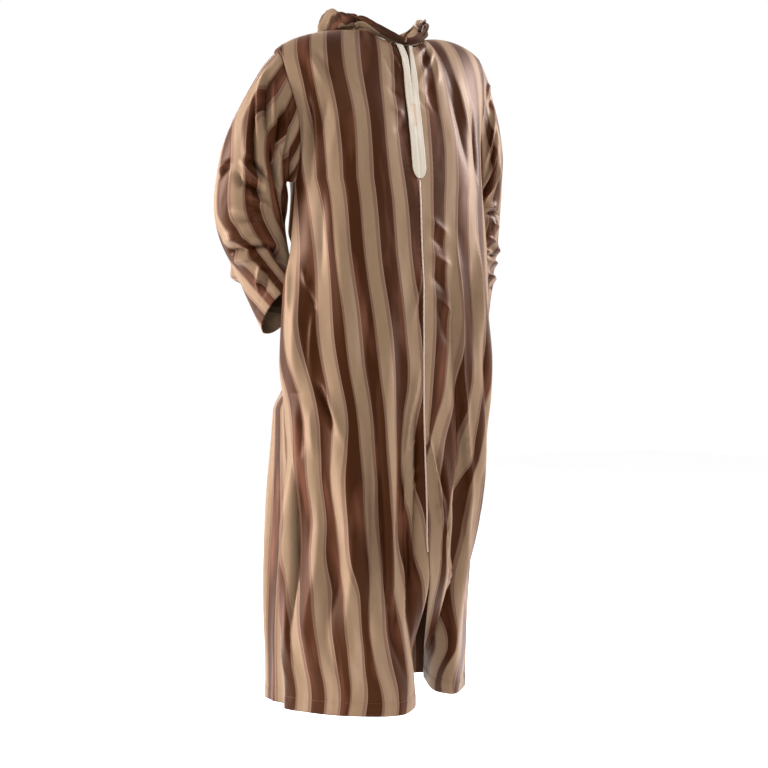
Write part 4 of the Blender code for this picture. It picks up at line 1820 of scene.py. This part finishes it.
@dataclass(frozen=True)
class PaleFloor:
    """The plain pale floor."""

    name: str = "pale_floor"
    tone: Colour = (0.97, 0.97, 0.97)
    roughness: float = 0.9

    def build(self) -> bpy.types.Material:
        """Make the finish.

        Returns:
            The material.
        """
        board = NodeBoard(self.name)
        place = board.node("ShaderNodeTexCoord", {}).outputs["Object"]
        factor = board.spread(board.noise(place, 1.5, 2.0), 0.99, 1.01)
        return board.finish({"Base Color": board.toned(self.tone, factor), "Roughness": self.roughness})


@dataclass(frozen=True)
class SoftLight:
    """A square soft light: where it stands, the point it shines at, its side and its power in watts."""

    name: str
    place: tuple[float, float, float]
    aim: tuple[float, float, float]
    size: float
    power: float

    def build(self) -> None:
        """Add the light."""
        lamp = bpy.data.lights.new(self.name, "AREA")
        lamp.shape = "SQUARE"
        lamp.size = self.size
        lamp.energy = self.power
        stand = add_to_scene(self.name, lamp)
        stand.location = self.place
        toward = Vector(self.aim) - Vector(self.place)
        stand.rotation_euler = toward.to_track_quat("-Z", "Y").to_euler()


@dataclass
class Studio:
    """The floor, the soft lights and the camera, which looks level at the garment."""

    floor_height: float = -1.47
    floor_half: float = 9.0
    world_strength: float = 1.0
    camera_turn: float = -31.0
    camera_distance: float = 2.65
    camera_height: float = -0.706
    camera_left: float = 0.008
    lens: float = 60.87
    sensor: float = 36.0

    LIGHTS = (
        SoftLight("left_key", (2.9, -0.7, 1.0), (0.1, 0.0, -0.4), 1.2, 190.0),
        SoftLight("right_key", (-2.8, 1.2, 0.2), (0.0, 0.0, -0.6), 1.5, 210.0),
        SoftLight("low_right", (-3.0, 1.7, -0.9), (-0.3, 0.1, -1.0), 0.9, 60.0),
        SoftLight("front_fill", (-1.0, -3.0, 2.3), (0.0, 0.0, -0.3), 1.2, 48.0),
        SoftLight("back_fill", (0.8, 3.4, 1.2), (0.0, 0.0, -0.6), 1.6, 60.0),
    )

    def floor(self) -> None:
        """Lay the floor."""
        half = self.floor_half
        corners = [(-half, -half), (half, -half), (half, half), (-half, half)]
        mesh = bpy.data.meshes.new("floor")
        mesh.from_pydata([(x, y, self.floor_height) for x, y in corners], [], [(0, 1, 2, 3)])
        mesh.materials.append(PaleFloor().build())
        add_to_scene("floor", mesh)

    def world(self) -> None:
        """Light the scene evenly from all round."""
        world = bpy.data.worlds.new("studio")
        world.use_nodes = True
        sky = world.node_tree.nodes["Background"].inputs
        sky["Color"].default_value = (1.0, 1.0, 1.0, 1.0)
        sky["Strength"].default_value = self.world_strength
        bpy.context.scene.world = world
        bpy.context.scene.view_settings.view_transform = "Standard"

    def camera(self) -> None:
        """Stand the camera where the photo was taken from."""
        turn = math.radians(self.camera_turn)
        right = Vector((math.cos(turn), math.sin(turn), 0.0))
        back = Vector((math.sin(turn), -math.cos(turn), 0.0))
        camera = bpy.data.cameras.new("camera")
        camera.lens = self.lens
        camera.sensor_width = self.sensor
        stand = add_to_scene("camera", camera)
        stand.location = back * self.camera_distance - right * self.camera_left
        stand.location.z = self.camera_height
        stand.rotation_euler = (0.5 * math.pi, 0.0, turn)
        bpy.context.scene.camera = stand

    def build(self) -> None:
        """Set up the whole studio."""
        self.floor()
        self.world()
        for light in self.LIGHTS:
            light.build()
        self.camera()


FRONT_CREASES = creases(
    # the neck's pull on both sides of the placket
    (92, -4, 4, -60, 5.4, 4.8, -4), (98, -12, 12, -116, 6.4, 6.4, -6), (56, -22, 36, -90, 8, -8),
    (46, -88, 54, -170, 9.5, -7.2), (82, -30, 70, -110, 7.6, 5.2), (12, -122, 46, -136, 3.8, 2.9),
    (12, -140, 42, -160, 3.8, -2.6), (-46, -40, -14, -100, 3.3, 2.9), (-34, -32, -12, -74, 2.8, 2.3),
    (-62, -50, -34, -112, 4.8, -2.9), (-64, -122, -20, -146, 5.7, -2.9), (-62, -160, -20, -180, 7.6, 3.1),
    (-60, -218, -12, -192, 9.5, -2.6),
    # from the right armhole over the chest
    (-205, -50, -178, -125, 6.3, -5.1), (-222, -50, -192, -140, 7.3, 4.7),
    (-190, -140, -212, -235, 9.4, -6.2), (-172, -150, -190, -300, 12.5, 4.7),
    (-150, -90, -140, -300, 16.7, 2.3), (-110, -120, -116, -400, 18.8, -2.3),
    (-232, -130, -236, -330, 7, -12), (-246, -150, -250, -330, 6, 7),
    # from the left armhole
    (130, -60, 150, -220, 11.4, 5.9), (105, -90, 128, -290, 11.4, -5.2), (176, -110, 160, -330, 8.5, -9.1),
    # down the middle
    (-1, -470, -31, -600, 4.8, 5.2), (-9, -520, -8, -610, 3.8, -4.5), (12, -376, 72, -418, 8.5, 4.2),
    (16, -408, 66, -446, 10, -5), (12, -446, 78, -480, 8.5, 4.8), (14, -482, 66, -530, 11, -6),
    (16, -526, 86, -584, 9.5, 5.8), (34, -524, 62, -640, 9.5, -8.5), (-46, -653, 36, -652, 1.9, -1.3),
    (-160, -728, -150, -812, 3.8, 1.8),
    # the sharp ridge and the hollow to the right of the seam
    (-8, -660, -49, -880, 4.3, 11.1), (-46, -810, -56, -1040, 5.7, 10.4), (-56, -960, -66, -1200, 7.6, 7.8),
    (-19, -700, -26, -990, 10.4, -19.5), (-24, -880, -36, -1110, 10.4, -15.6),
    (-46, -930, -50, -1110, 5.2, -13), (-40, -840, -12, -806, 3.8, 6.5), (-38, -898, -9, -854, 4.3, 6.5),
    (-30, -918, -8, -880, 3.3, 5.2), (-57, -926, -28, -916, 1.9, -1.8), (-56, -938, -27, -930, 1.9, 1.6),
    # the folds to the left of the seam
    (3, -790, 36, -950, 4.3, 10.4), (22, -880, 52, -1060, 4.8, 9.8), (18, -810, 48, -960, 6.6, -11.1),
    (40, -930, 66, -1120, 7.6, -11.7), (20, -922, 38, -996, 2.8, 5.9), (12, -936, 30, -944, 2.8, -3.9),
    (44, -1000, 100, -1170, 5.7, 7.8), (80, -390, 97, -760, 6.6, 11.7), (87, -620, 130, -920, 6.2, 11.7),
    (112, -800, 170, -1080, 6.2, 10.4), (66, -480, 88, -760, 6.6, -9.1), (80, -680, 116, -930, 6.6, -8.5),
    (140, -400, 150, -620, 6.6, 8.5), (124, -430, 132, -700, 8.5, -7.8), (148, -560, 178, -860, 9.5, -9.1),
    (180, -480, 200, -900, 11.4, 9.1), (160, -820, 214, -1160, 11.4, 7.8),
    # the pocket, its bag's stitch line and the bulge beside it
    (-262, -500, -270, -730, 20.9, 15.6), (-226, -540, -240, -720, 8.5, 6.5),
    (-254, -478, -226, -560, 4.8, 6.5), (-246, -500, -222, -580, 4.8, -7.2),
    (-302, -722, -232, -724, 2.7, -2.6), (-238, -725, -218, -706, 2.7, -2.6),
    (-236, -690, -202, -810, 6.2, -13), (-218, -700, -186, -840, 8.5, 7.8),
    (-288, -450, -277, -600, 5.2, 6.5), (-250, -740, -262, -860, 7.6, 5.9),
    (-270, -735, -290, -860, 7.6, -7.8),
    # the long folds of the skirt
    (-314, -790, -312, -1310, 3.6, -9), (-302, -800, -300, -1300, 6, 4),
    (-344, -780, -345, -1320, 7.6, 14.3), (-322, -780, -300, -1300, 9.5, -19.5),
    (-262, -820, -268, -1300, 14.2, 10.4), (-228, -860, -226, -1310, 12.3, -11.7),
    (-190, -820, -184, -1290, 13.3, 9.1), (-140, -800, -144, -1280, 13.3, -9.1),
    (-102, -760, -112, -1240, 11.4, 7.8), (-82, -900, -94, -1310, 8.5, -7.8),
    (-70, -480, -84, -800, 15.2, 4.5), (-112, -440, -126, -760, 13.3, -5.2),
    (-176, -360, -168, -700, 15.2, 5.9), (-204, -300, -214, -540, 11.4, -6.5),
)
BACK_CREASES = creases(
    (150, -90, 70, -230, 9.5, 7.8, 10), (160, -130, 80, -280, 8.5, -8.5, 10),
    (-150, -100, -60, -250, 9.5, 7.8, -10), (-160, -140, -75, -300, 8.5, -8.5, -10),
    (120, -240, 100, -520, 11.4, 9.1), (90, -300, 76, -640, 11.4, -9.1),
    (-110, -260, -96, -560, 11.4, 9.1), (-140, -300, -132, -600, 9.5, -9.8), (40, -360, 30, -760, 13.3, 7.8),
    (0, -420, -10, -900, 12.3, -10.4), (-46, -400, -56, -860, 12.3, 9.8),
    (-86, -620, -100, -1060, 11.4, -10.4), (66, -620, 74, -1100, 11.4, -10.4),
    (110, -600, 128, -1120, 12.3, 11.7), (-140, -680, -160, -1240, 12.3, 11.7),
    (150, -780, 168, -1300, 11.4, -11.7), (200, -700, 214, -1310, 12.3, 11.7),
    (254, -760, 262, -1310, 11.4, -13), (-200, -740, -216, -1310, 12.3, -11.7),
    (-250, -700, -262, -1310, 12.3, 10.4), (20, -860, 16, -1310, 12.3, 10.4),
    (-40, -940, -44, -1310, 11.4, -10.4), (-60, -700, 60, -704, 2.1, -1.3),
    (-180, -420, -110, -450, 4.8, 3.9), (180, -440, 120, -476, 4.8, 3.9),
)
SLEEVE_CREASES_RIGHT = creases(
    # at the armhole
    (-20, 24, -80, 160, 8.5, 15.2), (-40, 40, -96, 136, 5.1, -20.2), (-88, 110, -146, 232, 6, -20.2),
    (-64, 26, -104, 112, 6.8, 13.5), (-106, 30, -120, 140, 5.1, -15.2), (-122, 30, -136, 110, 5.1, 10.1),
    (-140, 36, -152, 130, 5.1, -13.5), (-158, 50, -162, 170, 6, 10.1), (30, 20, 100, 150, 9.4, 13.5),
    (54, 26, 120, 140, 6.8, -16.9), (110, 30, 150, 160, 7.7, 11.9), (140, 30, 176, 150, 6.8, -15.2),
    # the long dark line down the inside, with its crest, and the hollow beside it
    (-30, 60, -90, 232, 4, -14, 6), (-18, 50, -74, 226, 6, 9, 6), (-104, 120, -140, 300, 9, -14),
    (-92, 150, -112, 262, 5, 9), (-122, 96, -132, 176, 4, 8), (-112, 100, -124, 196, 3.5, -10),
    # along the sleeve's inner side
    (-206, 150, -204, 300, 26, 5),
    (-98, 110, -148, 330, 8.5, 18.6), (-160, 160, -170, 340, 8.5, -16.9),
    # at the sleeve's bend
    (-58, 176, -114, 212, 4.3, -18.6), (-48, 184, -108, 228, 6, 18.6), (-46, 206, -64, 246, 5.1, -13.5),
    (-56, 226, -110, 252, 5.6, -16.9), (-70, 250, -124, 282, 6.8, 11.9), (0, 212, -34, 188, 3.4, 8.5),
    (0, 222, -36, 198, 4.3, -8.5), (-30, 284, -104, 298, 7.7, 7.6), (-40, 306, -100, 318, 6.8, -8.5),
    (50, 190, 130, 214, 6, -15.2), (46, 206, 130, 240, 6.8, 13.5), (60, 260, 150, 252, 6.8, -13.5),
    # over the cuff
    (20, 322, -88, 348, 9.4, 13.5), (12, 342, -56, 374, 5.1, -16.9), (-36, 364, -104, 376, 4.8, -22),
    (-84, 370, -158, 420, 6.8, -23.6), (14, 354, -64, 396, 7.7, 18.6), (-100, 376, -130, 440, 11.1, -30.4),
    (-62, 398, -14, 438, 4.3, 14.4), (-72, 406, -32, 446, 5.1, -13.5), (30, 340, 120, 360, 7.7, -16.9),
    (30, 358, 110, 386, 7.7, 15.2), (90, 380, 160, 420, 7.7, -15.2),
)
SLEEVE_CREASES_LEFT = creases(
    (-26, 40, -112, 14, 6.4, 5.3), (-34, 52, -110, 34, 6.4, -6.9), (-48, 48, -162, 86, 6.4, 8.8, 6),
    (-70, 72, -160, 110, 9.6, -8.8), (-146, 188, -94, 104, 8.5, -15.7), (-142, 212, -76, 118, 7.5, 10.8),
    (-132, 222, -74, 232, 9.6, 8.8), (-134, 246, -40, 254, 5.4, -12.8), (-124, 272, -40, 286, 12.9, 7.8),
    (-100, 262, -88, 306, 3.6, -3.9), (-80, 262, -70, 302, 3.6, -3.9), (-108, 316, -46, 324, 4.8, 6.9),
    (-110, 334, -50, 342, 7.5, -8.8), (-64, 336, 0, 318, 9.6, 8.8), (-96, 364, -20, 340, 5.4, -12.8),
    (-92, 376, -16, 354, 6, 7.8), (-80, 390, -14, 372, 6.4, -8.8), (-84, 406, -12, 388, 6, 7.8),
    (-70, 424, -20, 410, 6.4, -5.9), (20, 26, 100, 130, 10.6, 7.8), (46, 26, 120, 120, 8.5, -8.8),
    (100, 40, 150, 170, 9.6, 7.8), (20, 180, 100, 216, 7.5, -8.8), (16, 196, 104, 238, 8.5, 8.8),
    (30, 262, 120, 250, 8.5, -8.8), (20, 330, 110, 350, 8.5, -10.8), (20, 346, 110, 374, 9.6, 8.8),
    (-160, 300, -120, 420, 10.6, -7.8),
)
HOOD_CREASES_RIGHT = creases(
    (30, 6, 130, 34, 4, -4), (50, 14, 140, 48, 4.5, 4.5), (120, 52, 210, 104, 4, 3.5),
    (128, 44, 204, 84, 4, -4.5), (150, 40, 190, 72, 3.5, 3), (170, 86, 214, 120, 3.5, -3),
    (180, 40, 240, 120, 8, 6), (210, 30, 250, 150, 9, -7), (240, 60, 270, 200, 11, 7),
)
HOOD_CREASES_LEFT = creases(
    (20, 10, 100, 24, 3.5, -4), (30, 22, 110, 44, 4, 4.5), (100, 20, 124, 60, 4, -4.5),
    (112, 20, 140, 58, 4, 4.5), (130, 20, 156, 50, 4, -4), (160, 40, 220, 110, 8, 6),
    (190, 30, 244, 140, 9, -7),
)
STRIPES_RIGHT = StripePlan(
    (
        (-1330, 50, 116, 164, 231, 276), (-1305, 42, 108, 159, 224, 271), (-1250, 14, 80, 149, 202, 256),
        (-1193, -10, 66, 137, 182, 243), (-1116, 4, 85, 144, 192, 256), (-1041, 24, 97, 152, 222, 275),
        (-965, 36, 103, 162, 229, 274), (-890, 52, 105, 160, 230, 278), (-834, 51, 103, 160, 218, 273),
        (-776, 43, 99, 157, 206, 267), (-698, 30, 99, 159, 208, 272), (-601, 38, 104, 165, 217, 288),
        (-465, 53, 122, 180, 222, 290), (-345, 60, 129, 187, 236, 300), (-250, 72, 140, 203, 259, 322),
        (-155, 71, 150, 214, 266, 330), (-75, 66, 147, 212, 272, 336), (10, 60, 134, 204, 268, 334),
    ),
    (-1, -2, -3, -4, -5),
)
STRIPES_LEFT = StripePlan(
    (
        (-1330, -90, -35, 40, 92, 124), (-1270, -85, -32, 34, 78, 155), (-1230, -80, -26, 32, 80, 165),
        (-1190, -72, -18, 38, 96, 176), (-1134, -66, -10, 39, 122, 188), (-1090, -62, -3, 39, 138, 196),
        (-1050, -58, 3, 40, 147, 205), (-1010, -56, 8, 40, 150, 206), (-972, -56, 10, 46, 146, 202),
        (-935, -55, 4, 56, 140, 198), (-897, -50, 0, 82, 136, 200), (-858, -35, 2, 101, 146, 205),
        (-817, -18, 12, 105, 154, 215), (-777, -14, 27, 111, 163, 222), (-738, -11, 44, 118, 172, 230),
        (-698, -8, 53, 126, 185, 245), (-600, -2, 62, 130, 190, 250), (-462, -1, 56, 118, 182, 246),
        (-342, 0, 60, 120, 184, 248), (-240, 3, 73, 144, 208, 270), (-188, 6, 71, 140, 212, 276),
        (-132, 8, 69, 137, 220, 284), (-75, 6, 62, 135, 216, 282), (-30, 2, 63, 136, 210, 276),
        (10, 0, 62, 136, 206, 270),
    ),
    (0, 1, 2, 3, 4),
)


@dataclass
class Thobe:
    """The whole garment: builds each piece and logs its name and face count."""

    body: BodyCloth
    made: dict[str, bpy.types.Object] = field(default_factory=dict)

    SLEEVE_CREASES = {Side.RIGHT: SLEEVE_CREASES_RIGHT, Side.LEFT: SLEEVE_CREASES_LEFT}
    HOOD_CREASES = {Side.RIGHT: HOOD_CREASES_RIGHT, Side.LEFT: HOOD_CREASES_LEFT}

    def __post_init__(self) -> None:
        """Make the finishes."""
        self.striped = (
            StripedSatin().build(),
            StripedSatin(
                name="striped_satin_inside", tan=(0.120, 0.078, 0.048), pale_line=(0.090, 0.056, 0.036),
                hairline=(0.130, 0.088, 0.056), dark=(0.026, 0.012, 0.007),
                brown_line=(0.060, 0.037, 0.022), roughness_dark=0.75, roughness_tan=0.75,
                sheen=0.04, specular=0.06,
            ).build(),
        )
        self.cream = PlainCloth("cream_trim", (0.325, 0.278, 0.224)).build()
        self.piping = PlainCloth("cream_piping", (0.33, 0.235, 0.185), 0.35, 0.3).build()
        self.brown_thread = PlainCloth("brown_thread", (0.075, 0.042, 0.026), 0.5).build()
        self.cream_thread = PlainCloth("cream_thread", (0.31, 0.262, 0.21), 0.5).build()
        self.dark_thread = PlainCloth("dark_thread", (0.05, 0.036, 0.03), 0.5).build()
        self.orange_thread = PlainCloth("orange_thread", (0.56, 0.27, 0.10), 0.45).build()

    def place(self, piece: bpy.types.Object, slot: Slot, *nodes: str) -> None:
        """Fix a piece to the garment, in the place of its solids.

        Args:
            piece: The piece.
            slot: The finish that it takes; not used.
            nodes: The solids that it stands for.
        """
        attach(piece, BODY)
        if nodes:
            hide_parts(*nodes)
        self.made[piece.name] = piece
        LOG.info("%s: %d faces", piece.name, len(piece.data.polygons))

    def place_cloth(self, name: str, grid: ClothGrid) -> None:
        """Make a panel of striped cloth and fix it in the place of its solid."""
        self.place(grid.build(f"{name}_cloth", self.striped), Slot.STRIPED, name)

    def build(self) -> None:
        """Build the pieces in the order in which a maker sews them."""
        body = self.body
        right = body.front_grid(Side.RIGHT, STRIPES_RIGHT)
        left = body.front_grid(Side.LEFT, STRIPES_LEFT)
        back = body.back_grid()
        hems = Sewing()
        for name, grid in (("front_right", right), ("front_left", left), ("back", back)):
            self.place_cloth(name, grid)
            hems.run(*grid.row_line(body.wall.depth))
        for side in Side:
            sleeve = SleeveCloth(side, body, self.SLEEVE_CREASES[side])
            grid = sleeve.grid()
            self.place_cloth(f"sleeve_{side.value}", grid)
            cuff = ClothGrid(grid.points[::-1], grid.normals[::-1], grid.cut[::-1], grid.wall[::-1])
            hems.run(*cuff.row_line(sleeve.wall.depth))
        for side in Side:
            self.place_cloth(f"hood_{side.value}", HoodCloth(side, body.form, self.HOOD_CREASES[side]).grid())
        self.trim(FrontSurface(right, left), hems)

    def trim(self, surface: FrontSurface, hems: Sewing) -> None:
        """Build the placket, the piping and all the stitches.

        Args:
            surface: The outer side of the front.
            hems: The stitches of the hems.
        """
        placket = Placket(surface)
        self.place(placket.grid().build("placket_cloth", (self.cream,)), Slot.CREAM, "placket")
        self.place(Piping(surface).grid().build("piping_cord", (self.piping,)), Slot.CREAM, "piping")
        edges = Sewing(0.0022, 0.0031, 0.00016)
        mark = Sewing(0.0022, 0.0022, 0.00060)
        ends = Sewing(0.0024, 0.0028, 0.00028)
        placket.sew(edges, mark, ends)
        self.place(hems.build("hem_stitches", self.brown_thread), Slot.STRIPED)
        self.place(edges.build("placket_stitches", self.cream_thread), Slot.CREAM)
        self.place(mark.build("placket_diamonds", self.orange_thread), Slot.CREAM)
        self.place(ends.build("placket_end_stitches", self.dark_thread), Slot.CREAM)


def main() -> None:
    """Build the garment and its studio; each piece's face count is logged."""
    logging.basicConfig(level=logging.INFO, format="%(name)s: %(message)s")
    thobe = Thobe(BodyCloth(BodyForm(), FRONT_CREASES, BACK_CREASES))
    thobe.build()
    Studio().build()


def plain(box: object) -> list[list[float]]:
    """A box as plain lists of numbers."""
    return [[float(value) for value in corner] for corner in box]


if __name__ == "__main__":
    main()
